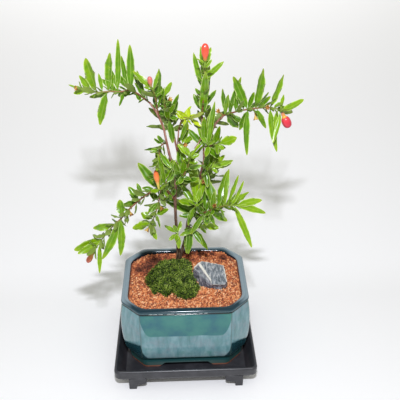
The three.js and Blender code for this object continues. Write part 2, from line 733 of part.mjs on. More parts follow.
    leaves: [
      [0.31, 135, 15, 7], [0.33, -135, 18, 6], [0.4, -130, 12, 4], [0.81, 150, 15, 9],
      [0.93, -170, 23, 10], [0.67, 25, 16, 8], [0.6, -70, 19, 3], [1, -65, 18, 7],
    ],
  },
  {
    name: 'spray_back_low', radius: [1, 0.7], fill: 0, around: 9,
    route: [
      [-8, 20, 204], [-8, 36, 202], [-6, 50, 202], [-4, 62, 207],
    ],
  },
  {
    name: 'spray_back_right', radius: [1, 0.7], fill: 0, around: 9,
    route: [
      [20, 31, 210], [27, 44, 209], [33, 55, 212], [38, 64, 219],
    ],
  },
  {
    name: 'spray_back_crest', radius: [0.9, 0.7], fill: 0, around: 7,
    route: [
      [-8, 22, 289], [-11, 34, 290], [-15, 46, 293],
    ],
  },
  {
    name: 'spray_back_upper', radius: [0.9, 0.7], fill: 0, around: 7,
    route: [
      [24, 16, 292], [28, 30, 291], [32, 44, 292],
    ],
  },
];

// Seen from the front: to the right, up, and towards the eye.
const RIGHTWARDS = at(1, 0, 0);
const UPWARDS = at(0, Math.sin(LOOKED_DOWN), Math.cos(LOOKED_DOWN));
const TOWARDS = at(0, -Math.cos(LOOKED_DOWN), Math.sin(LOOKED_DOWN));
const radians = THREE.MathUtils.degToRad;

// A blade's outline as [share of the length, share of the width]: longer blades have more points.
function leafOutline(length, petiole) {
  if (length <= 20) return [[0, petiole], [0.45, 1]];
  if (length <= 32) return [[0, petiole], [0.38, 1], [0.72, 0.8]];
  return [[0, petiole], [0.12, petiole * 1.4], [0.45, 1], [0.78, 0.74]];
}

// A lanceolate blade with a keel under its midrib, bent along its length, root first.
function blade({ root, along, face, length, width, curl }, extra = 0) {
  const across = face.clone().cross(along);
  const bow = Math.abs(curl) < 0.01 ? 0.01 : curl;
  const centre = (share) => {
    const forward = (length * Math.sin(bow * share)) / bow;
    const lift = (length * (1 - Math.cos(bow * share))) / bow;
    return root.clone().addScaledVector(along, forward).addScaledVector(face, lift);
  };
  const rings = leafOutline(length, LEAF.petiole / width).map(([share, fullness]) => {
    const middle = centre(share);
    const normal = face.clone().multiplyScalar(Math.cos(bow * share));
    normal.addScaledVector(along, -Math.sin(bow * share));
    const half = (width * fullness) / 2 + extra;
    const top = normal.clone().multiplyScalar(extra);
    return [
      middle.clone().addScaledVector(across, -half).add(top),
      middle.clone().addScaledVector(across, half).add(top),
      middle.clone().addScaledVector(normal, -LEAF.keel - extra),
    ];
  });
  return loft(rings, root, centre(1 + extra / length));
}

// The ways a leaf tries to bend clear: lifted, turned in its own plane, and made shorter.
const BENDS = [
  [0, 0, 1], [14, 0, 1], [-14, 0, 1], [0, 9, 1], [0, -9, 1], [28, 6, 0.95], [-28, -6, 0.95],
  [24, -12, 0.9], [-24, 12, 0.9], [42, 0, 0.85], [-42, 0, 0.85],
];

function bent(leaf, [lift, turn, share]) {
  const across = leaf.face.clone().cross(leaf.along);
  const along = leaf.along.clone().applyAxisAngle(across, radians(-lift));
  const face = leaf.face.clone().applyAxisAngle(across, radians(-lift));
  return { ...leaf, face, along: along.applyAxisAngle(face, radians(turn)), length: leaf.length * share };
}

// Everything that leaves have to stay clear of, and the piece that it belongs to.
const obstacles = [];
const addObstacle = (owner, solid) => obstacles.push({ owner, solid });

function meets(solid, other) {
  const [a, b] = [solid.boundingBox(), other.boundingBox()];
  const boxesMeet = [0, 1, 2].every((i) => a.min[i] <= b.max[i] && b.min[i] <= a.max[i]);
  return boxesMeet && !solid.intersect(other).isEmpty();
}

function meetsOtherPiece(owner, solid) {
  return obstacles.some((other) => other.owner !== owner && meets(solid, other.solid));
}

// A leaf grows where one of its bends is clear of the other pieces. A leaf placed by rule also
// keeps its outer part clear of its own spray.
function placeLeaf(spray, leaf, byRule) {
  for (const bend of BENDS) {
    const tried = bent(leaf, bend);
    if (meetsOtherPiece(spray.name, blade(tried, GAP + 0.05))) continue;
    if (byRule && meetsOwnSpray(spray, tried)) continue;
    const solid = blade(tried);
    addObstacle(spray.name, solid);
    spray.grown.push(solid);
    return;
  }
}

function meetsOwnSpray(spray, leaf) {
  const root = leaf.root.clone().addScaledVector(leaf.along, 0.3 * leaf.length);
  const outer = blade({ ...leaf, root, length: 0.7 * leaf.length });
  return spray.grown.some((other) => meets(outer, other));
}

// A leaf whose heading is seen from the front.
function namedLeaf(spray, [place, heading, length, width], seed) {
  const draw = seededDraw(seed);
  const lean = radians(draw(-20, 20));
  const along = RIGHTWARDS.clone().multiplyScalar(Math.cos(radians(heading)));
  along.addScaledVector(UPWARDS, Math.sin(radians(heading)));
  along.multiplyScalar(Math.cos(lean)).addScaledVector(TOWARDS, Math.sin(lean));
  const face = squareTo(along, TOWARDS).applyAxisAngle(along, radians(draw(-38, 38)));
  const root = spray.curve.getPoint(Math.max(place, spray.bareShare));
  return { root, along, face, length: length / Math.cos(lean), width, curl: draw(-0.5, 0.15) };
}

// A direction turned as little as possible to stand square to an axis.
function squareTo(axis, direction) {
  return direction.clone().addScaledVector(axis, -direction.dot(axis)).normalize();
}

// A leaf by rule: turned round the stem by an angle from the direction towards the front.
function ruleLeaf(spray, place, turn, seed) {
  const draw = seededDraw(seed);
  const root = spray.curve.getPoint(Math.max(place, spray.bareShare));
  const stem = spray.curve.getTangent(Math.max(place, spray.bareShare));
  const out = squareTo(stem, TOWARDS).applyAxisAngle(stem, turn);
  const spread = radians(draw(40, 68));
  const along = stem.clone().multiplyScalar(Math.cos(spread)).addScaledVector(out, Math.sin(spread));
  const face = squareTo(along, stem).applyAxisAngle(along, radians(draw(-30, 30)));
  const length = draw(17, 29);
  return { root, along, face, length, width: length * draw(0.22, 0.3), curl: draw(-0.6, 0.1) };
}

const STEM_SIDES = 4;

function startSpray(spray, index) {
  spray.number = index + 1;
  spray.curve = smoothCurve(spray.route);
  spray.steps = Math.ceil(1.5 * (spray.route.length - 1));
  spray.bareShare = 3.2 / spray.curve.getLength();
  spray.grown = [stemTube(spray, 0)];
  addObstacle(spray.name, stemTube(spray, GAP));
}

function stemTube({ curve, radius, steps }, extra) {
  return tube(curve, grown(radius, extra), STEM_SIDES, steps);
}

function growNamedLeaves(spray) {
  (spray.leaves ?? []).forEach((leaf, i) => {
    placeLeaf(spray, namedLeaf(spray, leaf, 1000 * spray.number + i), false);
  });
}

function growRuleLeaves(spray) {
  const draw = seededDraw(77 * spray.number);
  for (let i = 0; i < spray.fill; i++) {
    const turn = (i % 3 === 1 ? 0 : Math.PI) + draw(-0.9, 0.9);
    const place = (i + 0.7) / spray.fill;
    placeLeaf(spray, ruleLeaf(spray, place, turn, 1000 * spray.number + 500 + i), true);
  }
  for (let i = 0; i < (spray.around ?? 0); i++) {
    const turn = i * 2.4 + draw(-0.3, 0.3);
    const place = (i + 1.5) / (spray.around + 0.5);
    placeLeaf(spray, ruleLeaf(spray, place, turn, 1000 * spray.number + 700 + i), true);
  }
}

// The spray in one piece, cut clear of what carries it.
function finishSpray(spray, trunkRoom) {
  const parent = SPRAYS.find((other) => other.name === spray.parent);
  const rooms = [trunkRoom, ...BUDS.map(budRoom)];
  if (parent) rooms.push(stemTube(parent, GAP));
  return mainBody(rooms.reduce((solid, room) => solid.subtract(room), joined(spray.grown)));
}

// A bud grown by the gap on all sides: the end of its stalk stops there.
function budRoom(bud) {
  const start = at(...bud.from);
  const along = at(...bud.to).sub(start).normalize();
  const from = start.addScaledVector(along, -GAP).toArray();
  return makeBud({ ...bud, from, radius: bud.radius + 2 * GAP });
}

// ---- The scene graph ----------------------------------------------------------------------

const bonsai = new THREE.Group();

function addPiece(name, solid, color, roughness) {
  const material = new THREE.MeshStandardMaterial({ color, roughness, metalness: 0 });
  const mesh = new THREE.Mesh(geometryOfSolid(solid), material);
  mesh.name = name;
  bonsai.add(mesh);
}

const roomForRock = makeRock(1.05);
const pot = makePot();
const rock = makeRock();
const moss = makeMoss(roomForRock);
const trunk = makeTrunk();
const trunkRoom = makeTrunk(GAP);

addPiece('tray', makeTray(), 0x2c2c30, 0.5);
addPiece('pot', pot, 0x4f8586, 0.2);
addPiece('drain_mesh_left', makeDrainMesh(-1), 0x1d3a24, 0.6);
addPiece('drain_mesh_right', makeDrainMesh(1), 0x1d3a24, 0.6);
addPiece('grit', makeGrit(roomForRock), 0xc26d4c, 0.95);
addPiece('moss', moss, 0x3c5a1c, 0.95);
addPiece('rock', rock, 0x7d838a, 0.8);
addPiece('trunk', trunk, 0x6b4f3f, 0.85);

addObstacle('ground', box([-85, -80, 0], [85, 80, GRIT.level + 2]));
addObstacle('ground', pot);
addObstacle('ground', rock);
addObstacle('ground', moss);
addObstacle('wood', trunk);

for (const bud of BUDS) {
  const solid = makeBud(bud);
  addObstacle(bud.name, solid);
  addPiece(bud.name, solid, bud.color, 0.45);
}

SPRAYS.forEach(startSpray);
SPRAYS.forEach(growNamedLeaves);
SPRAYS.forEach(growRuleLeaves);
for (const spray of SPRAYS) {
  addPiece(spray.name, finishSpray(spray, trunkRoom), 0x4f8f22, 0.5);
}

const middle = new THREE.Box3().setFromObject(bonsai).getCenter(at(0, 0, 0));
bonsai.position.set(-middle.x, -middle.y, 0);

export default bonsai;
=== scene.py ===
"""A dwarf pomegranate bonsai in its glazed pot, on its humidity tray, dressed for the render.

Lengths are in millimetres round the middle of the tray: x to the right, y to the back, z up.
"""

import math
from functools import partial

import bmesh
import bpy
from mathutils import Matrix, Vector, noise
from mathutils.bvhtree import BVHTree


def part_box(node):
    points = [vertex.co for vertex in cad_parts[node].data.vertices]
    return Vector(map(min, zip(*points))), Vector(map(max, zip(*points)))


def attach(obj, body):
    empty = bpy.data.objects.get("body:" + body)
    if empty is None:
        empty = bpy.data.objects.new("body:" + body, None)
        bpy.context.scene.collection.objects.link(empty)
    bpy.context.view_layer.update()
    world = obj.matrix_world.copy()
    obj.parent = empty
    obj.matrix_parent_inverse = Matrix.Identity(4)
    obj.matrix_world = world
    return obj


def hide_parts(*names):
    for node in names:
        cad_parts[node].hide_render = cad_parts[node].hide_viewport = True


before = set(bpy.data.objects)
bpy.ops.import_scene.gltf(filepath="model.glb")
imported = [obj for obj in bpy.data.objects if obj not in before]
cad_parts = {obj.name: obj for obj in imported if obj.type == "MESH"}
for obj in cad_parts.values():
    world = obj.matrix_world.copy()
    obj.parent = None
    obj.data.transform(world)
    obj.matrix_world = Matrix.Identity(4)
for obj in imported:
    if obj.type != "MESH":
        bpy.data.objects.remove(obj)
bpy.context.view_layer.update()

# ---- Humidity tray -------------------------------------------------------------------------
# A shallow tray of black ABS, injection moulded, with a broad band under its rim. It stands on
# four bracket feet moulded in one piece with it.

tray_low, tray_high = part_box("tray")
HOME = (tray_low + tray_high) / 2


def place(x, y, z):
    """A point of the bonsai, in metres in the frame."""
    return Vector((HOME.x + x / 1000, HOME.y + y / 1000, z / 1000))


def linear(hex_colour):
    """An sRGB colour as the linear values that a shader takes."""
    channels = [int(hex_colour[i:i + 2], 16) / 255 for i in (1, 3, 5)]
    return [c / 12.92 if c <= 0.04045 else ((c + 0.055) / 1.055) ** 2.4 for c in channels] + [1]


def feed(socket, source):
    """Gives an input its value, or links it to a socket or to a node's first shown output."""
    if isinstance(source, str):
        source = linear(source)
    if isinstance(source, bpy.types.Node):
        source = next(output for output in source.outputs if output.enabled)
    if isinstance(source, bpy.types.NodeSocket):
        socket.id_data.links.new(source, socket)
    else:
        socket.default_value = source


def add_node(material, kind, *sources, stops=(), **settings):
    """Adds a node. The sources feed its shown inputs in their order, the stops are a ramp's, and
    the settings are the node's properties or inputs by name."""
    node = material.node_tree.nodes.new("ShaderNode" + kind)
    for name, value in settings.items():
        if hasattr(node, name):
            setattr(node, name, value)
        else:
            feed(node.inputs[name.replace("_", " ")], value)
    for socket, source in zip([socket for socket in node.inputs if socket.enabled], sources):
        feed(socket, source)
    for i, (position, colour) in enumerate(stops):
        ramp = node.color_ramp.elements
        stop = ramp[i] if i < 2 else ramp.new(position)
        stop.position, stop.color = position, linear(colour)
    return node


def start_material(name, roughness, ior, coat=0):
    """A material, its shader, and the add-node function for it."""
    material = bpy.data.materials.new(name)
    material.use_nodes = True
    shader = material.node_tree.nodes["Principled BSDF"]
    for key, value in (("Roughness", roughness), ("IOR", ior), ("Coat Weight", coat)):
        shader.inputs[key].default_value = value
    return material, shader, partial(add_node, material)


def clouded(add, stops, **clouds):
    """A colour that varies over a piece in soft clouds."""
    where = add("TexCoord").outputs["Object"]
    return add("ValToRGB", add("TexNoise", where, **clouds), stops=stops)


def make_piece(name, points, faces, materials, crease=35):
    """A mesh object from points in millimetres, smooth up to the crease angle."""
    mesh = bpy.data.meshes.new(name)
    mesh.from_pydata([place(*point) for point in points], [], faces)
    for material in materials:
        mesh.materials.append(material)
    mesh.shade_smooth()
    mesh.set_sharp_from_angle(angle=math.radians(crease))
    piece = bpy.data.objects.new(name, mesh)
    bpy.context.scene.collection.objects.link(piece)
    return piece


def stands_for(piece, slot, *nodes):
    """Fixes a piece to the bonsai in the place of its CAD nodes."""
    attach(piece, "root")
    if nodes:
        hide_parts(*nodes)


def lofted(rings, first=0):
    """Faces between equal rings of points and over both ends, numbered from first."""
    sides = len(rings[0])
    faces = []
    for i in range(len(rings) - 1):
        for j in range(sides):
            a = first + i * sides + j
            b = first + i * sides + (j + 1) % sides
            faces.append((a, b, b + sides, a + sides))
    faces.append(tuple(first + j for j in reversed(range(sides))))
    faces.append(tuple(first + (len(rings) - 1) * sides + j for j in range(sides)))
    return faces


def points_of(rings):
    """All the points of some rings, one ring after the other."""
    return [point for ring in rings for point in ring]


TRAY_WIDTH, TRAY_DEPTH, TRAY_CORNER, TIGHTEST_CORNER = 170, 158, 7, 3.5
# The wall from under the floor, up its outside with the band, over the rim and down inside, as
# [distance in from the outer edge, height].
TRAY_WALL = [
    (8, 9), (6.5, 10.5), (4.8, 17), (1.6, 17), (0.4, 18.4), (0.1, 26.9), (0.9, 28.3), (1.6, 28.5),
    (3, 28.5), (3.6, 28.1), (4, 27.4), (10.8, 12.4), (12, 11),
]
FOOT_INSET, FOOT_SET_BACK, FOOT_THICKNESS = 17, 1, 12
FOOT_OUTLINE = [
    (0, 0), (9, 0), (9, 3.5), (9.1, 4.8), (9.7, 6), (11, 6.7), (14, 7), (17, 7.3), (19.6, 8.2),
    (20.7, 9.6), (21, 11.5), (21, 17), (0, 17),
]


def rounded_rectangle(width, depth, radius, z, steps=8):
    """A ring of points at a height, round the middle of the tray."""
    ring = []
    for sx, sy, quarter in ((1, 1, 0), (-1, 1, 1), (-1, -1, 2), (1, -1, 3)):
        for i in range(steps + 1):
            turn = math.pi / 2 * (quarter + i / steps)
            x = sx * (width / 2 - radius) + radius * math.cos(turn)
            y = sy * (depth / 2 - radius) + radius * math.sin(turn)
            ring.append((x, y, z))
    return ring


black_abs, shader, add = start_material("black moulded ABS", roughness=0.34, ior=1.54)
# Moulded ABS is satin, with a fine spark-eroded texture that scatters the light, and a handled
# tray carries a little pale dust.
tint = clouded(add, [(0.45, "#2c2c31"), (0.8, "#46464b")], Scale=60, Detail=6, Roughness=0.7)
grain = add("TexNoise", add("TexCoord").outputs["Object"], Scale=1600, Detail=2)
relief = add("Bump", Strength=0.25, Distance=0.0002, Height=grain)
feed(shader.inputs["Base Color"], tint)
feed(shader.inputs["Normal"], relief)

rings = []
for inset, z in TRAY_WALL:
    radius = max(TRAY_CORNER - inset, TIGHTEST_CORNER)
    rings.append(rounded_rectangle(TRAY_WIDTH - 2 * inset, TRAY_DEPTH - 2 * inset, radius, z))
tray_points, tray_faces = points_of(rings), lofted(rings)
for sx in (-1, 1):
    for sy in (-1, 1):
        front = FOOT_SET_BACK - TRAY_DEPTH / 2
        layers = []
        for y in (front, front + FOOT_THICKNESS):
            layers.append([(sx * (FOOT_INSET - TRAY_WIDTH / 2 + x), -sy * y, z) for x, z in FOOT_OUTLINE])
        first = len(tray_points)
        tray_points += points_of(layers)
        foot_faces = lofted(layers, first)
        tray_faces += foot_faces if sx * sy > 0 else [face[::-1] for face in foot_faces]
tray = make_piece("tray_moulding", tray_points, tray_faces, [black_abs], crease=30)
edges = tray.modifiers.new("moulded edges", "BEVEL")
edges.width = 0.0005
edges.segments = 2
edges.angle_limit = math.radians(30)
stands_for(tray, "tray_plastic", "tray")

# ---- Glazed pot ------------------------------------------------------------------------------
# A slip-cast stoneware pot with cut corners and a rolled lip, fired with a glossy blue-grey glaze
# and a second dip of teal on the upper panels. It stands on four feet that are bare underneath.

POT_X, POT_Y = 1, 2.5
POT_WIDTH, POT_DEPTH, POT_CORNER = 150, 125, 22
UPRIGHT_EDGE, INNER_EDGE, EDGE_STEPS, EDGE_SHARE = 3.8, 8, 5, 0.4
CORNER_SHARE = 2 - math.sqrt(2)  # how much a cut corner shortens when all walls move in by 1
POT_FOOT, POT_UNDERSIDE, POT_FLOOR = 11.3, 18.3, 23.8
# The wall's profiles as [distance in from the panels' plane, height].
POT_OUTSIDE = [
    (6.5, POT_FOOT), (5.7, 16), (5.2, 20.3), (5.4, 24.3), (6, 27.2), (4, 28.5), (1.6, 29.9), (0.7, 32.2),
    (0.2, 35.3), (-1.4, 46), (-2.3, 62), (-2, 78), (-0.8, 90), (0.5, 97.3), (1.7, 98.6), (0.3, 99.7),
    (-0.2, 101.6), (0.4, 103.2), (2, 104), (3.8, 104.2),
]
POT_INSIDE = [
    (3.8, 104.2), (5.6, 104), (6.8, 103.3), (7.4, 102), (7.6, 96), (6.2, 80), (6, 60), (8.5, 38),
    (13, POT_FLOOR),
]
ARCH_HEIGHT, ARCH_SLOPE, FRONT_ARCH, SIDE_ARCH, FOOT_RING = 7, 7, 66, 46, 13
DRAIN_RADIUS, DRAIN_OFFSET, DRAIN_SIDES = 7, 30, 32
OUTSIDE_STEPS, INSIDE_STEPS, CUT_PAST, POT_CREASE = 4, 3, 10, 50


def on_curve(route, share):
    """The point at a share from 0 to 1 of the smooth curve through a route's points."""
    spans = len(route) - 1
    i = min(int(share * spans), spans - 1)
    t = share * spans - i
    start, end = route[i], route[i + 1]
    before = route[i - 1] if i > 0 else 2 * start - end
    after = route[i + 2] if i + 2 <= spans else 2 * end - start
    leave, arrive = (end - before) / 2, (after - start) / 2
    square = (3 * (end - start) - 2 * leave - arrive) * t * t
    cube = (2 * (start - end) + leave + arrive) * t ** 3
    return start + leave * t + square + cube


def smoothed(profile, steps):
    """A profile with more points, on the smooth curve through its own."""
    route = [Vector(point) for point in profile]
    count = steps * (len(route) - 1)
    return [on_curve(route, i / count) for i in range(count + 1)]


def turns_round(sides):
    """Equal turns round a circle, in radians."""
    return [2 * math.pi * i / sides for i in range(sides)]


def octagon(inset, z, edge=UPRIGHT_EDGE):
    """The pot's plan at a height: a rectangle with cut corners and rounded upright edges."""
    a, b = POT_WIDTH / 2 - inset, POT_DEPTH / 2 - inset
    cut = POT_CORNER - inset * CORNER_SHARE
    corners = [(a, -b + cut), (a, b - cut), (a - cut, b), (-a + cut, b)]
    corners += [(-x, -y) for x, y in corners]
    corners = [Vector((POT_X + x, POT_Y + y, z)) for x, y in corners]
    ring = []
    for i, corner in enumerate(corners):
        before, after = corners[i - 1] - corner, corners[(i + 1) % 8] - corner
        start = corner + before.normalized() * min(edge, before.length * EDGE_SHARE)
        end = corner + after.normalized() * min(edge, after.length * EDGE_SHARE)
        for j in range(EDGE_STEPS + 1):
            t = j / EDGE_STEPS
            ring.append(start * (1 - t) ** 2 + corner * 2 * t * (1 - t) + end * t ** 2)
    return ring


def pot_arch(span, length, across):
    """The cutter that leaves an arch between two feet, right through the pot."""
    outline = [(-span / 2 - 1, -1), (span / 2 + 1, -1), (span / 2 - ARCH_SLOPE, ARCH_HEIGHT)]
    outline.append((-span / 2 + ARCH_SLOPE, ARCH_HEIGHT))
    ends = []
    for side in (-1, 1):
        ring = [(x, side * length / 2, POT_FOOT + z) for x, z in outline]
        ends.append([(POT_X + (y if across else x), POT_Y + (x if across else y), z) for x, y, z in ring])
    faces = lofted(ends)
    return make_piece("arch", points_of(ends), [face if across else face[::-1] for face in faces], [])


def cut_away(piece, cutters):
    """Cuts the cutters out of a piece and removes them."""
    for cutter in cutters:
        cut = piece.modifiers.new("cut", "BOOLEAN")
        cut.object = cutter
        cut.solver = "EXACT"
    bpy.context.view_layer.update()
    shape = piece.evaluated_get(bpy.context.evaluated_depsgraph_get())
    piece.data = bpy.data.meshes.new_from_object(shape)
    piece.modifiers.clear()
    for cutter in cutters:
        bpy.data.objects.remove(cutter)


def in_millimetres(add, x, y):
    """Where a point lies, in millimetres from a place on the ground."""
    where = add("TexCoord").outputs["Object"]
    return add("VectorMath", where, (1000, 1000, 1000), place(x, y, 0) * -1000, operation="MULTIPLY_ADD")


def turning(add, colour, other, value, low, high, most=1):
    """A colour that turns into another as a value goes from low to high."""
    share = add("MapRange", value, From_Min=low, From_Max=high, To_Max=most)
    return add("Mix", share, colour, other, data_type="RGBA")


# The outer glaze is pale blue-grey with downward streaks, paler towards the bottom, and teal on the
# upper part of each main panel, where it ends in a level edge with cut-off corners. The pale and the
# teal are partly the glaze's own colours and partly painted reflection. The bottom of every panel, and
# more of each corner panel, is painted dark teal as a painted reflection of the black tray below.
# Under the lip the glaze is thin, so the iron in the clay shows as a brown line, and the feet's lower
# edges are bare orange-brown clay.
outer_glaze, shader, add = start_material("glossy teal stoneware glaze", roughness=0.13, ior=1.52)
position = in_millimetres(add, POT_X, POT_Y)
at_x, at_y, at_z = add("SeparateXYZ", position).outputs
# The heights of the teal's edge, which is partly painted reflection, and of the dark bottom zones, which are
# a painted reflection of the black tray.
CURVE_WIDTH, TEAL_EDGE, DARK_REFLECTION_EDGE, CORNER_DARK_REFLECTION_EDGE, GLAZE_HEIGHT = 13, 66.5, 28, 54, 110
# Where the painted highlight under the front of the lip lies: height, reach, middle and half-length.
GLINT_HEIGHT, GLINT_REACH, GLINT_MIDDLE, GLINT_HALF = 100.1, 0.7, -9, 34
past_ends = []
for from_middle, half_pot in ((at_x, POT_WIDTH / 2), (at_y, POT_DEPTH / 2)):
    away = add("Math", from_middle, operation="ABSOLUTE")
    past_ends.append(add("Math", away, half_pot - POT_CORNER, operation="SUBTRACT"))
past_x = past_ends[0]
past_edge = add("Math", *past_ends, operation="MINIMUM")
wander = add("TexNoise", position, Scale=0.05, Detail=3)
towards_edge = add("MapRange", past_edge, From_Min=-CURVE_WIDTH, From_Max=0.3)
curve = add("Math", towards_edge, 2.4, operation="POWER")
teal_edge = add("Math", curve, 24, TEAL_EDGE, operation="MULTIPLY_ADD")
teal_edge = add("Math", wander, 3.2, teal_edge, operation="MULTIPLY_ADD")
above = add("Math", at_z, teal_edge, operation="SUBTRACT")
above = add("MapRange", above, From_Min=-0.7, From_Max=0.7)
# The teal band is partly the glaze's colour and partly painted reflection.
on_panel = add("MapRange", past_edge, From_Min=0.8, From_Max=-0.6)
teal_dip_and_reflection = add("Math", above, on_panel, operation="MULTIPLY")
stretched = add("Mapping", position, Scale=(0.16, 0.16, 0.035))
streaks = add("TexNoise", stretched, Scale=1, Detail=5, Roughness=0.6)
# Paler towards the bottom: partly the glaze's colour and partly painted reflection.
pale_pool_and_reflection = add("MapRange", at_z, From_Min=60, From_Max=30, To_Max=0.16)
pale_pool_and_reflection = add("Math", streaks, pale_pool_and_reflection, operation="ADD")
pale = add("ValToRGB", pale_pool_and_reflection,
           stops=[(0.3, "#537c80"), (0.48, "#648d94"), (0.62, "#779ca4"), (0.8, "#8dabb1")])
mottle = add("TexNoise", position, Scale=0.07, Detail=4, Roughness=0.65)
pale = turning(add, pale, "#848e98", mottle, 0.5, 0.68, 0.5)
pale = turning(add, pale, "#578a86", mottle, 0.46, 0.3, 0.6)
clouds = add("TexNoise", position, Scale=0.045, Detail=4)
teal = add("ValToRGB", clouds, stops=[(0.35, "#27626e"), (0.5, "#337270"), (0.7, "#3e7d74")])
panels = add("Mix", teal_dip_and_reflection, pale, teal, data_type="RGBA")
on_corner = add("MapRange", past_edge, From_Min=-0.8, From_Max=0.8)
# The dark bottom zone of each panel is a painted reflection of the black tray. It rises higher on the corner
# panels.
dark_reflection_edge = add("Math", curve, 17, DARK_REFLECTION_EDGE, operation="MULTIPLY_ADD")
corner_edge = add("Math", past_x, -0.55, CORNER_DARK_REFLECTION_EDGE, operation="MULTIPLY_ADD")
dark_reflection_edge = add("Mix", on_corner, dark_reflection_edge, corner_edge, data_type="FLOAT")
dark_reflection_edge = add("Math", mottle, 5, dark_reflection_edge, operation="MULTIPLY_ADD")
below = add("Math", dark_reflection_edge, at_z, operation="SUBTRACT")
panels = turning(add, panels, "#153a42", below, 0, 3.2)
off_edge = add("Math", past_edge, operation="ABSOLUTE")
panels = turning(add, panels, "#4a5650", off_edge, 1.3, 0.3, 0.45)
height_share = add("Math", at_z, GLAZE_HEIGHT, operation="DIVIDE")
# Below the panels the undercut is painted dark teal, darkest just under the bulge, as a painted reflection of
# the black tray.
ends = add("ValToRGB", height_share,
           stops=[(0.105, "#a8664a"), (0.121, "#a8664a"), (0.133, "#34655f"), (0.2, "#28585a"),
                  (0.262, "#1a4248"), (0.5, "#4c7f83"), (0.88, "#3a2b24"), (0.902, "#2e231f"),
                  (0.91, "#24444e"), (0.92, "#405a62"), (0.931, "#2c4850"), (0.94, "#0e2f3b")])
# The lip is painted dark teal in front and paler behind and at the sides: painted reflections,
# of dark surroundings in front and of the white paper behind.
lip_side_reflection = add("MapRange", past_x, From_Min=8, From_Max=20)
lip_reflection = add("MapRange", at_y, From_Min=-45, From_Max=30)
lip_reflection = add("Math", lip_reflection, lip_side_reflection, operation="MAXIMUM")
lip_high = add("MapRange", at_z, From_Min=102.6, From_Max=103.6)
lip_reflection = add("Math", lip_reflection, lip_high, operation="MULTIPLY")
ends = add("Mix", lip_reflection, ends, "#8799a2", data_type="RGBA")
away_from_panels = add("ValToRGB", height_share,
                       stops=[(0.255, "#ffffff"), (0.275, "#000000"), (0.884, "#000000"),
                              (0.893, "#ffffff")])
colour = add("Mix", away_from_panels, panels, ends, data_type="RGBA")
# A painted highlight: a broken white line under the front of the lip, where the strip light's glint
# falls.
along_lip = add("TexNoise", position, Scale=0.22, Detail=1)
painted_glint = add("MapRange", along_lip, From_Min=0.45, From_Max=0.5)
glint_height = add("Math", at_z, GLINT_HEIGHT, GLINT_REACH, operation="COMPARE")
glint_side = add("Math", at_x, GLINT_MIDDLE, GLINT_HALF, operation="COMPARE")
glint_front = add("Math", at_y, 0, operation="LESS_THAN")
for limit in (glint_height, glint_side, glint_front):
    painted_glint = add("Math", painted_glint, limit, operation="MULTIPLY")
colour = add("Mix", painted_glint, colour, "#d6e2e2", data_type="RGBA")
feed(shader.inputs["Base Color"], colour)

# Inside, the glaze is the same dark teal. Over the inner edge of the lip, and more at the sides, it is
# painted paler as a painted highlight, and the wall at the back is painted darker as a painted reflection.
inner_glaze, shader, add = start_material("dark teal glaze inside", roughness=0.14, ior=1.52)
position = in_millimetres(add, POT_X, POT_Y)
at_x, at_y, at_z = add("SeparateXYZ", position).outputs
lip = add("MapRange", at_z, From_Min=94, From_Max=104.2)
# The paler band just inside the top of the lip is a painted highlight.
colour = add("ValToRGB", lip,
             stops=[(0.2, "#0e2c38"), (0.7, "#1c3e4a"), (0.78, "#2c3c44"), (0.84, "#3a4a52"),
                    (0.95, "#34444c"), (0.99, "#12323e")])
# The pale lip at the sides is a painted highlight.
aside = add("Math", at_x, operation="ABSOLUTE")
aside = add("MapRange", aside, From_Min=55, From_Max=67)
over_lip = add("MapRange", lip, From_Min=0.8, From_Max=0.86)
aside = add("Math", aside, over_lip, operation="MULTIPLY")
# The wall at the back is painted darker: a painted reflection.
back_wall_reflection = add("ValToRGB", lip,
                stops=[(0.3, "#0a202a"), (0.85, "#102a35"), (0.95, "#1c3b46"), (1, "#566a72")])
colour = turning(add, colour, back_wall_reflection, at_y, 0, 45)
colour = add("Mix", aside, colour, "#8799a2", data_type="RGBA")
feed(shader.inputs["Base Color"], colour)

wall = smoothed(POT_OUTSIDE, OUTSIDE_STEPS)
lip_ring = len(wall) - 1
wall += smoothed(POT_INSIDE, INSIDE_STEPS)[1:]
rings = [octagon(inset, z) for inset, z in wall[:lip_ring]]
rings += [octagon(inset, z, INNER_EDGE) for inset, z in wall[lip_ring:]]
pot = make_piece("pot_stoneware", points_of(rings), lofted(rings), [outer_glaze, inner_glaze])
for face in pot.data.polygons:
    ring = min(face.vertices) // len(rings[0])
    face.material_index = 1 if ring >= lip_ring else 0
pot.data.polygons[-2].material_index = 0

recess = [octagon(FOOT_RING, POT_FOOT - 1), octagon(FOOT_RING + 1, POT_UNDERSIDE)]
cutters = [
    make_piece("recess", points_of(recess), lofted(recess), []),
    pot_arch(FRONT_ARCH, POT_DEPTH + CUT_PAST, across=False),
    pot_arch(SIDE_ARCH, POT_WIDTH + CUT_PAST, across=True),
]
for side in (-1, 1):
    ends_of_hole = []
    for z in (POT_FOOT, POT_FLOOR + 2):
        ends_of_hole.append([(POT_X + side * DRAIN_OFFSET + DRAIN_RADIUS * math.cos(turn),
                              POT_Y + DRAIN_RADIUS * math.sin(turn), z) for turn in turns_round(DRAIN_SIDES)])
    cutters.append(make_piece("drain hole", points_of(ends_of_hole), lofted(ends_of_hole), []))
cut_away(pot, cutters)
pot.data.set_sharp_from_angle(angle=math.radians(POT_CREASE))
stands_for(pot, "pot_glaze", "pot")

# ---- Drainage mesh ---------------------------------------------------------------------------
# A square of green plastic netting over each drain hole, which keeps the grit in. It is cut from
# a moulded polyethylene sheet and is held down by the grit.


def dress(material, *nodes):
    """Gives a material to CAD solids that stay in the picture."""
    for node in nodes:
        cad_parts[node].data.materials.clear()
        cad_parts[node].data.materials.append(material)


green_netting, shader, add = start_material("moulded polyethylene netting", roughness=0.5, ior=1.51)
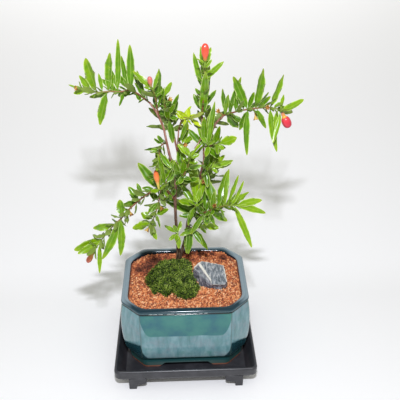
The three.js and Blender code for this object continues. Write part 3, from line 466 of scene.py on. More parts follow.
# Polyethylene is waxy and slightly cloudy; grit has scuffed it paler in places.
feed(shader.inputs["Base Color"], clouded(add, [(0.4, "#1f3f2a"), (0.75, "#4a6650")], Scale=300, Detail=4))
dress(green_netting, "drain_mesh_left", "drain_mesh_right")

# ---- Grit ------------------------------------------------------------------------------------
# Crushed fired clay, sieved to 2 to 3 mm, heaped to just under the lip. The solid bed below is
# the damp mass of it, and the loose grains lie on top. Round the roots and behind them the grains are
# painted darker, partly as wet grit and partly as painted shade under the foliage.

GRIT_LEVEL, GRIT_GRAIN, GRIT_EDGE_INSET = 99.5, 0.9, 8.6
ANY_WAY = 6.28  # the range of a heading that may point any way round, in radians
GRAIN_SPACING, SMALLEST_GRAIN, LARGEST_GRAIN, LAYER_DEPTH = 1.62, 0.75, 1.75, 1.6
GRAIN_SHAKE, GRAIN_TONES, GRAIN_LIFTS, GRAIN_LUMPS = 0.45, (0.18, 0.92), (-0.45, 0.6), (0.72, 1.18)
UNDER_MOSS, UNDER_ROCK, FROM_WALL, DARKEST_WET_AND_SHADE = 2, 2.5, 0.4, 0.86
TRUNK_X, TRUNK_Y = -6, 37
# Where the grit is painted darker, partly wet and partly painted shade under the foliage: x, y, reach,
# and how dark it is in the middle.
WET_AND_SHADED_SPOTS = [
    (-55, 25, 15, 1.15), (-46, 32, 17, 1.35), (-36, 42, 17, 1.3), (-48, 17, 9, 0.8), (-20, 50, 11, 0.7),
    (6, 54, 16, 1), (20, 56, 17, 0.95), (36, 54, 16, 0.9), (52, 44, 12, 1), (13, 40, 10, 0.8),
]
# Where the grit is heaped: x, y, reach across, reach in depth, height.
HEAPS = [(28, 60, 36, 13, 4), (22, -20, 8, 6, 3.2), (34, -22, 7, 4.5, 2.2)]
MOSS_OUTLINE = [
    (-45, -3), (-44, 11), (-36, 25), (-26, 38), (-14, 37), (-8, 43), (0, 41), (8, 33), (10, 22),
    (9, 10), (14, -4), (19, -19), (9, -34), (-7, -33), (-15, -21), (-21, -31), (-31, -20),
    (-35, -28), (-41, -12),
]
ROCK_PLAN = [(20, 26), (51, 20), (55, -11), (50, -17), (41, -21), (28, -20), (18, -13), (9, 6), (11, 20)]


def grit_top(x, y):
    """The height of the grit's surface, which rises by the trunk."""
    away = (x - TRUNK_X) ** 2 + (y - TRUNK_Y) ** 2
    relief = math.sin(x * 1.7 + 2.1 * math.sin(y * 0.9)) * math.cos(y * 1.3 + 1.7 * math.sin(x * 0.7))
    return GRIT_LEVEL + 1.2 * math.exp(-away / 1200) + GRIT_GRAIN * relief


def heaped(x, y):
    """How far the loose grains are piled above the grit's surface."""
    return sum(height * math.exp(-((x - a) / across) ** 2 - ((y - b) / deep) ** 2)
               for a, b, across, deep, height in HEAPS)


def seeded_draw(seed):
    """Numbers that look random and are the same each time."""
    state = seed

    def draw(low, high):
        nonlocal state
        state = state * 48271 % 2147483647
        return low + (high - low) * state / 2147483647
    return draw


def edge_distance(outline, x, y):
    """How far a place is inside an outline, negative outside it."""
    nearest, inside = math.inf, False
    for (ax, ay), (bx, by) in zip(outline, outline[1:] + outline[:1]):
        along = ((x - ax) * (bx - ax) + (y - ay) * (by - ay)) / ((bx - ax) ** 2 + (by - ay) ** 2)
        along = min(max(along, 0), 1)
        nearest = min(nearest, math.hypot(x - ax - along * (bx - ax), y - ay - along * (by - ay)))
        if (ay > y) != (by > y) and x < ax + (y - ay) / (by - ay) * (bx - ax):
            inside = not inside
    return nearest if inside else -nearest


def paint(piece, name, colours):
    """Stores a value for each point of a piece, for its material to read."""
    layer = piece.data.attributes.new(name, "FLOAT_COLOR", "POINT")
    layer.data.foreach_set("color", [channel for colour in colours for channel in colour])


def marked(add, mark):
    """The red, green and blue of the values painted on a piece."""
    return add("SeparateColor", add("Attribute", attribute_name=mark)).outputs


# Fired clay is matt and porous. Each grain has its own tone, from pale salmon to dark red-brown,
# and a dusty, pitted surface.
fired_clay, shader, add = start_material("crushed fired clay", roughness=0.92, ior=1.5)
pits = add("TexNoise", add("TexCoord").outputs["Object"], Scale=1100, Detail=3)
mottled = add("Math", pits, 0.3, marked(add, "grain")["Red"], operation="MULTIPLY_ADD")
mottled = add("Math", mottled, 0.15, operation="SUBTRACT")
colour = add("ValToRGB", mottled,
             stops=[(0, "#2e1613"), (0.12, "#6a3826"), (0.28, "#b26240"), (0.46, "#d88452"),
                    (0.68, "#e8a068"), (0.88, "#f4bc8c"), (1, "#fce0ba")])
relief = add("Bump", Strength=0.5, Distance=0.0003, Height=pits)
feed(shader.inputs["Base Color"], colour)
feed(shader.inputs["Normal"], relief)

damp_clay, shader, add = start_material("damp clay bed", roughness=0.8, ior=1.45)
# Damp clay is the same clay two tones darker, seen only between the grains.
feed(shader.inputs["Base Color"], clouded(add, [(0.35, "#74402c"), (0.65, "#ad6443")], Scale=500, Detail=4))
dress(damp_clay, "grit")

GOLDEN = (1 + math.sqrt(5)) / 2
ICOSAHEDRON = [(-1, GOLDEN, 0), (1, GOLDEN, 0), (-1, -GOLDEN, 0), (1, -GOLDEN, 0)]
ICOSAHEDRON += [(z, x, y) for x, y, z in ICOSAHEDRON[:4]] + [(y, z, x) for x, y, z in ICOSAHEDRON[:4]]
ICOSAHEDRON = [Vector(corner).normalized() for corner in ICOSAHEDRON]


def hull_faces(corners):
    """The triangles of a convex body, facing outwards."""
    shape = bmesh.new()
    points = [shape.verts.new(corner) for corner in corners]
    bmesh.ops.convex_hull(shape, input=points)
    bmesh.ops.recalc_face_normals(shape, faces=shape.faces)
    shape.verts.index_update()
    faces = [tuple(point.index for point in face.verts) for face in shape.faces]
    shape.free()
    return faces


GRAIN_FACES = hull_faces(ICOSAHEDRON)
draw = seeded_draw(2024)
pot_plan = [(point.x, point.y) for point in octagon(GRIT_EDGE_INSET, 0, edge=0.5)[::EDGE_STEPS + 1]]
grain_points, grain_faces, grain_tones = [], [], []
columns, rows = int(POT_WIDTH / GRAIN_SPACING), int(POT_DEPTH / GRAIN_SPACING)
for row in range(rows):
    for column in range(columns):
        shift = 0.5 * (row % 2) + draw(-GRAIN_SHAKE, GRAIN_SHAKE)
        x = POT_X - POT_WIDTH / 2 + (column + shift) * GRAIN_SPACING
        y = POT_Y - POT_DEPTH / 2 + (row + draw(-GRAIN_SHAKE, GRAIN_SHAKE)) * GRAIN_SPACING
        radius = SMALLEST_GRAIN + (LARGEST_GRAIN - SMALLEST_GRAIN) * draw(0, 1) ** 1.6
        tone, lift = draw(*GRAIN_TONES), draw(*GRAIN_LIFTS)
        spin = Matrix.Rotation(draw(0, ANY_WAY), 3, Vector((draw(-1, 1), draw(-1, 1), draw(-1, 1))))
        lumps = [draw(*GRAIN_LUMPS) for corner in ICOSAHEDRON]
        stretch = Vector((draw(0.8, 1.25), draw(0.8, 1.15), draw(0.65, 1)))
        in_moss, in_rock, in_pot = (edge_distance(plan, x, y) for plan in (MOSS_OUTLINE, ROCK_PLAN, pot_plan))
        if in_moss >= UNDER_MOSS or in_rock >= UNDER_ROCK or in_pot < FROM_WALL:
            continue
        # How much darker the grain is painted: partly wet grit, partly painted shade.
        wet_and_shade = max(strength * (1 - math.hypot(x - a, y - b) / reach) for a, b, reach, strength in WET_AND_SHADED_SPOTS)
        wet_and_shade = min(max(wet_and_shade + 0.35 * noise.noise(Vector((x, y, 0)) * 0.25), 0), DARKEST_WET_AND_SHADE)
        pile = heaped(x, y)
        for layer in range(int(pile / LAYER_DEPTH) + 1):
            first = len(grain_points)
            middle = Vector((x, y, grit_top(x, y) + lift + max(pile - layer * LAYER_DEPTH, 0)))
            for corner, lump in zip(ICOSAHEDRON, lumps):
                grain_points.append(middle + (spin @ (corner * stretch)) * radius * lump)
                grain_tones.append((tone * (1 - wet_and_shade), wet_and_shade, 0, 1))
            grain_faces += [tuple(first + i for i in face) for face in GRAIN_FACES]
grains = make_piece("grit_grains", grain_points, grain_faces, [fired_clay], crease=10)
paint(grains, "grain", grain_tones)
stands_for(grains, "grit")

# ---- Moss ------------------------------------------------------------------------------------
# A cushion of living moss laid on the grit in front of the trunk. It is a dense mound of short
# shoots, dark green in its depth and yellow-green at its tips.

MOSS_EDGE_DEPTH, MOSS_SWELL, MOSS_SWELL_WITHIN, MOSS_LUMPS = 2.2, 3.2, 10, 0.9
MOSS_MIDDLE, MOSS_ACROSS, MOSS_DEEP, BARE_ROUND_TRUNK = Vector((-14, 4)), (-47, 21), (-36, 45), 4.5
THIRDS = (0, 2.09, 4.19)  # the three sides of a shoot, as angles round it
MOSS_RINGS, MOSS_SIDES, SHOOT_COUNT, SHOOT_POINTS, MOSS_PATCH = 22, 114, 7000, 7, 6


def swung(first, second, angle):
    """A direction at an angle from the first of two, towards the second."""
    return first * math.cos(angle) + second * math.sin(angle)


def moss_top(x, y):
    """The height of the moss's surface: thin at its edge, with lumps."""
    edge = max(edge_distance(MOSS_OUTLINE, x, y), 0)
    lumps = math.sin(x * 0.62 + 1.3 * math.sin(y * 0.31)) * math.cos(y * 0.55 + math.sin(x * 0.4))
    fine = noise.noise(Vector((x * 0.5, y * 0.5, 0)))
    swell = MOSS_SWELL * min(edge / MOSS_SWELL_WITHIN, 1)
    return grit_top(x, y) + (MOSS_EDGE_DEPTH + swell + MOSS_LUMPS * lumps + fine) * min(0.35 + edge / 3, 1)


# Moss leaves are thin and slightly waxy: near-black green between the shoots, where no light
# gets, and bright yellow-green where a shoot's tip is a single leaf thick.
living_moss, shader, add = start_material("living moss", roughness=0.7, ior=1.4)
colour = add("ValToRGB", marked(add, "shoot")["Red"],
             stops=[(0, "#141f07"), (0.28, "#33490f"), (0.52, "#64811f"), (0.76, "#a0b444"),
                    (1, "#dce39a")])
feed(shader.inputs["Base Color"], colour)

outline = [Vector(point) for point in MOSS_OUTLINE]
outline = [on_curve(outline + outline[:1], i / MOSS_SIDES) for i in range(MOSS_SIDES)]
rings = []
for i in range(MOSS_RINGS):
    share = 1 - i / MOSS_RINGS
    ring = [MOSS_MIDDLE + (point - MOSS_MIDDLE) * share for point in outline]
    rings.append([(point.x, point.y, moss_top(point.x, point.y)) for point in reversed(ring)])
rings.insert(0, [(x, y, GRIT_LEVEL - 1) for x, y, z in rings[0]])
moss_points, moss_faces = points_of(rings), lofted(rings)
moss_tones = [(0.08 + 0.25 * noise.noise(Vector(point) * 0.6), 0, 0, 1) for point in moss_points]
draw = seeded_draw(555)
while len(moss_points) < len(rings) * MOSS_SIDES + SHOOT_COUNT * SHOOT_POINTS:
    x, y = draw(*MOSS_ACROSS), draw(*MOSS_DEEP)
    length, bend, heading, tone = draw(2.6, 6.2), draw(0.2, 1.2), draw(0, ANY_WAY), draw(0.1, 1)
    patch = noise.noise(Vector((x, y, 3)) / MOSS_PATCH)
    tone = min(max(tone + 0.4 * patch, 0.05), 1)
    edge = edge_distance(MOSS_OUTLINE, x, y)
    if edge < 0.4 + 2 * max(patch, 0) or math.hypot(x - TRUNK_X, y - TRUNK_Y) < BARE_ROUND_TRUNK:
        continue
    outwards = (Vector((x, y)) - MOSS_MIDDLE).normalized() * (0.9 if edge < 4 else 0.15)
    lean = Vector((math.cos(heading) * 0.7 + outwards.x, math.sin(heading) * 0.7 + outwards.y,
                   1)).normalized()
    fall = (lean + bend * Vector((math.cos(heading + 0.5), math.sin(heading + 0.5), -0.4))).normalized()
    root = Vector((x, y, moss_top(x, y) - 1))
    side = lean.cross(Vector((0, 0, 1))).normalized()
    other = lean.cross(side)
    first = len(moss_points)
    for reach, width in ((0, 0.3), (0.55, 0.52)):
        middle = root + lean * length * reach
        for turn in THIRDS:
            moss_points.append(middle + swung(side, other, turn) * width)
            moss_tones.append((tone * (0.2 + 0.8 * reach), 0, 0, 1))
    moss_points.append(root + lean * length * 0.55 + fall * length * 0.45)
    moss_tones.append((tone, 0, 0, 1))
    moss_faces.append((first + 2, first + 1, first))
    for i in range(3):
        k = (i + 1) % 3
        moss_faces.append((first + i, first + k, first + 3 + k, first + 3 + i))
        moss_faces.append((first + 3 + i, first + 3 + k, first + 6))
moss = make_piece("moss_cushion", moss_points, moss_faces, [living_moss], crease=60)
paint(moss, "shoot", moss_tones)
stands_for(moss, "moss", "moss")

# ---- Rock ------------------------------------------------------------------------------------
# A broken piece of blue-grey limestone, set in the grit beside the moss, with a chip of the same
# stone at its foot. Its arrises are worn pale, and a white calcite vein runs down one of them.

ROCK_CORNERS = [
    (22, 22, 113), (50, 17, 109.5), (52, -13, 108), (49, -18.5, 107.5), (34.5, -18.5, 108),
    (32, -11, 109.5), (13, 17, 108), (19, 20, 112.5), (19, -2, 105), (10.5, 7, 100), (20, -12.5, 98),
    (28, -15.5, 98), (42, -15.5, 96), (50, -14, 96), (54, -10, 96), (52, 18, 96), (22, 26, 96),
    (11, 20, 96), (10, 6, 96), (20, -13, 96),
]
CHIP_CORNERS = [
    (37.5, -16, 104), (45.5, -15.5, 104), (44.5, -20.5, 100.5), (40.5, -22, 100), (37, -19, 101),
    (37, -15, 96), (46, -14, 96), (45, -22, 96), (40, -23.5, 96), (36, -20, 96),
]
ROCK_CUTS, CHIP_CUTS, CHIPPING = 11, 4, 0.16
# The pale lines as (start, end, half their width, how white they are).
ROCK_LINES = [((18.6, 20, 112.3), (25.2, 4.5, 111), 1.15, 1),
              ((25.2, 4.5, 111), (29.2, -5, 110.1), 0.95, 1),
              ((29.2, -5, 110.1), (32, -11, 109.6), 0.8, 0.9), ((32, -11, 109.6), (34, -18, 106), 0.6, 0.6),
              ((22, 22, 113), (50, 17, 109.5), 0.55, 0.6), ((50, 17, 109.5), (52, -13, 108), 0.75, 0.85),
              ((13, 17, 108), (20, 21, 113), 1.7, 0.9), ((34.5, -18.5, 108), (49, -18.5, 107.5), 0.4, 0.3),
              ((19, -2, 105), (27, -15, 99), 0.4, 0.35)]


def line_glow(add, position, start, end, width, strength):
    """How near a point is to a line: strength on it, fading to 0 at its width and a bit."""
    start, end = Vector(start), Vector(end)
    step = end - start
    offset = add("VectorMath", position, start, operation="SUBTRACT")
    share = add("VectorMath", offset, step / step.length_squared, operation="DOT_PRODUCT")
    share = add("Clamp", share)
    foot = add("VectorMath", step, share, operation="SCALE")
    gap = add("VectorMath", offset, foot, operation="DISTANCE")
    return add("MapRange", gap, From_Min=width * 1.9, From_Max=width * 0.7, To_Max=strength)


# Limestone is matt and fine-grained: blue-grey with paler blotches on the weathered top, darker
# and warmer on the broken side that faces down, with white crystalline calcite in its cracks.
limestone, shader, add = start_material("weathered blue-grey limestone", roughness=0.78, ior=1.5)
position = in_millimetres(add, 0, 0)
ripple = add("TexNoise", position, Scale=0.5, Detail=3)
shaken = add("VectorMath", ripple.outputs["Color"], (1, 1, 1), position, operation="MULTIPLY_ADD")
shaken = add("VectorMath", shaken, (0.5, 0.5, 0.5), operation="SUBTRACT")
grain_turned = add("Mapping", position, Rotation=(0, 0, math.radians(-28)), Scale=(0.42, 0.13, 0.4))
blotches = add("TexNoise", grain_turned, Scale=1, Detail=7, Roughness=0.72)
weathered = add("ValToRGB", blotches,
                stops=[(0.34, "#3e444a"), (0.44, "#6b737a"), (0.54, "#949a9f"), (0.63, "#c6c6c6"),
                       (0.72, "#eae6e0")])
broken = add("ValToRGB", blotches,
             stops=[(0.34, "#2e2e35"), (0.46, "#56545d"), (0.58, "#85818a"), (0.7, "#bcb6ba")])
facing = add("SeparateXYZ", add("NewGeometry").outputs["Normal"]).outputs["Z"]
stone = turning(add, broken, weathered, facing, 0.72, 0.92)
for start, end, width, strength in ROCK_LINES:
    glow = line_glow(add, shaken, start, end, width, strength)
    stone = add("Mix", glow, stone, "#eeeade", data_type="RGBA")
relief = add("Bump", Strength=0.6, Distance=0.0008, Height=blotches)
feed(shader.inputs["Base Color"], stone)
feed(shader.inputs["Normal"], relief)

rock_points, rock_faces = [], []
for corners, cuts, roughness in ((ROCK_CORNERS, ROCK_CUTS, 0.85), (CHIP_CORNERS, CHIP_CUTS, 0.4)):
    stone_shape = bmesh.new()
    points = [stone_shape.verts.new(corner) for corner in corners]
    bmesh.ops.convex_hull(stone_shape, input=points)
    bmesh.ops.subdivide_edges(stone_shape, edges=stone_shape.edges, cuts=cuts, use_grid_fill=True)
    bmesh.ops.recalc_face_normals(stone_shape, faces=stone_shape.faces)
    stone_shape.verts.index_update()
    for point in stone_shape.verts:
        depth = noise.fractal(point.co * CHIPPING, 1, 2, 4) - 0.1
        point.co += point.normal * depth * roughness
    first = len(rock_points)
    rock_points += [point.co.copy() for point in stone_shape.verts]
    rock_faces += [tuple(first + point.index for point in face.verts) for face in stone_shape.faces]
    stone_shape.free()
rock = make_piece("rock_limestone", rock_points, rock_faces, [limestone], crease=28)
stands_for(rock, "rock", "rock")

# ---- Trunk and limbs -------------------------------------------------------------------------
# The trunk of a young dwarf pomegranate forks at the grit into two slim stems, and these into a
# few limbs, all one grown piece of wood. It stands by its roots, which go down into the grit.

# Each limb starts inside the wood that carries it: (its radii, its route), bottom first.
LIMBS = [
    ((4, 3.6, 2.5, 1.9, 1.8, 1.8, 1.7, 1.6, 1.5, 1.4, 1.3, 1.2, 1.2, 1.1, 1.1),
     [(-6, 37, 79), (-6, 37, 100), (-6, 34, 122), (-7, 30, 148), (-8, 25, 176), (-8, 20, 204), (-7, 16, 226),
      (-7, 13, 244), (-12, 10, 265), (-14, 9, 276), (-16, 9, 288), (-18, 9, 300), (-21, 9, 309),
      (-25, 8, 319), (-31, 6, 330)]),
    ((1.3, 1.2, 1),
     [(-7, 13, 244), (-4, 16, 258), (-4, 18, 267), (-6, 20, 278), (-8, 22, 289), (-12, 23, 301)]),
    ((0.9, 0.8),
     [(-4, 18, 267), (-3, 22, 280), (-2, 25, 291)]),
    ((2.4, 2, 1.8, 1.7, 1.6, 1.6, 1.5, 1.4, 1.3, 1.2, 1.1, 1.1),
     [(-6, 37, 103), (0, 38, 124), (4, 37, 143), (7, 35, 166), (14, 33, 189), (20, 31, 210), (22, 29, 231),
      (26, 26, 252), (30, 23, 269), (33, 20, 285), (38, 16, 301), (46, 12, 312)]),
    ((1.2, 1, 0.9),
     [(26, 26, 252), (25, 20, 272), (24, 16, 292), (23, 13, 309)]),
    ((0.8, 0.7),
     [(24, 17, 288), (19, 12, 280), (15, 8, 276)]),
]
LIMB_SIDES, STEPS_A_SPAN = 14, 6
FLARE_LOW, FLARE_HIGH, FLARE_GROWTH = 97, 107, 0.55
KNOT_LENGTH, KNOT_HEIGHT = 13, 0.09


def value_along(values, share):
    """The value at a share of a row of values, from one to the next in a straight line."""
    spans = len(values) - 1
    i = min(int(share * spans), spans - 1)
    return values[i] + (values[i + 1] - values[i]) * (share * spans - i)


def tube_rings(route, radii, sides, steps, swell=None):
    """Rings of a tapering tube along a smooth curve; swell may change the radius at a point."""
    route = [Vector(point) for point in route]
    path = [on_curve(route, i / steps) for i in range(steps + 1)]
    rings = []
    across = None
    for i, point in enumerate(path):
        along = (path[min(i + 1, steps)] - path[max(i - 1, 0)]).normalized()
        if across is None:
            across = Vector((1, 0, 0)) if abs(along.y) > 0.9 else Vector((0, 1, 0))
        across = (across - along * across.dot(along)).normalized()
        up = along.cross(across)
        radius = value_along(radii, i / steps) * (swell(point) if swell else 1)
        rings.append([point + radius * swung(across, up, turn) for turn in turns_round(sides)])
    return rings


def wood_swell(point):
    """How much thicker the wood is at a point: it flares at the root and has low knots."""
    rise = (FLARE_HIGH - point.z) / (FLARE_HIGH - FLARE_LOW)
    flare = FLARE_GROWTH * min(max(rise, 0), 1) ** 2
    return 1 + flare + KNOT_HEIGHT * noise.noise(point / KNOT_LENGTH * 2)


pomegranate_bark, shader, add = start_material("young pomegranate bark", roughness=0.72, ior=1.45)
# Thin bark that grew in the light is red-brown under a grey skin, which splits lengthwise into
# fine strips as the wood below it thickens.
where = add("TexCoord").outputs["Object"]
strips = add("TexNoise", add("Mapping", where, Scale=(900, 900, 110)), Scale=1, Detail=4)
patches = add("TexNoise", where, Scale=90, Detail=2)
mixed = add("Math", patches, 0.6, strips, operation="MULTIPLY_ADD")
old_bark = add("ValToRGB", mixed,
               stops=[(0.5, "#1a120d"), (0.72, "#3c2a1d"), (0.88, "#5f4837"), (1, "#8a7560")])
young_bark = add("ValToRGB", mixed,
                 stops=[(0.5, "#5e372c"), (0.72, "#8a5a4a"), (0.88, "#a87868"), (1, "#c0a090")])
bark_colour = turning(add, old_bark, young_bark, add("SeparateXYZ", where).outputs["Z"], 0.16, 0.27)
relief = add("Bump", Strength=0.6, Distance=0.0004, Height=strips)
feed(shader.inputs["Base Color"], bark_colour)
feed(shader.inputs["Normal"], relief)

wood_points, wood_faces = [], []
for radii, route in LIMBS:
    rings = tube_rings(route, radii, LIMB_SIDES, STEPS_A_SPAN * (len(route) - 1), wood_swell)
    wood_faces += lofted(rings, len(wood_points))
    wood_points += points_of(rings)
wood = make_piece("trunk_wood", wood_points, wood_faces, [pomegranate_bark], crease=60)
stands_for(wood, "bark", "trunk")

# ---- Leafy shoots ----------------------------------------------------------------------------
# This year's shoots, brown at the root and green at the tip, with narrow glossy leaves on short
# stalks. Each shoot grows out of the wood, and its leaves keep clear of the other shoots.

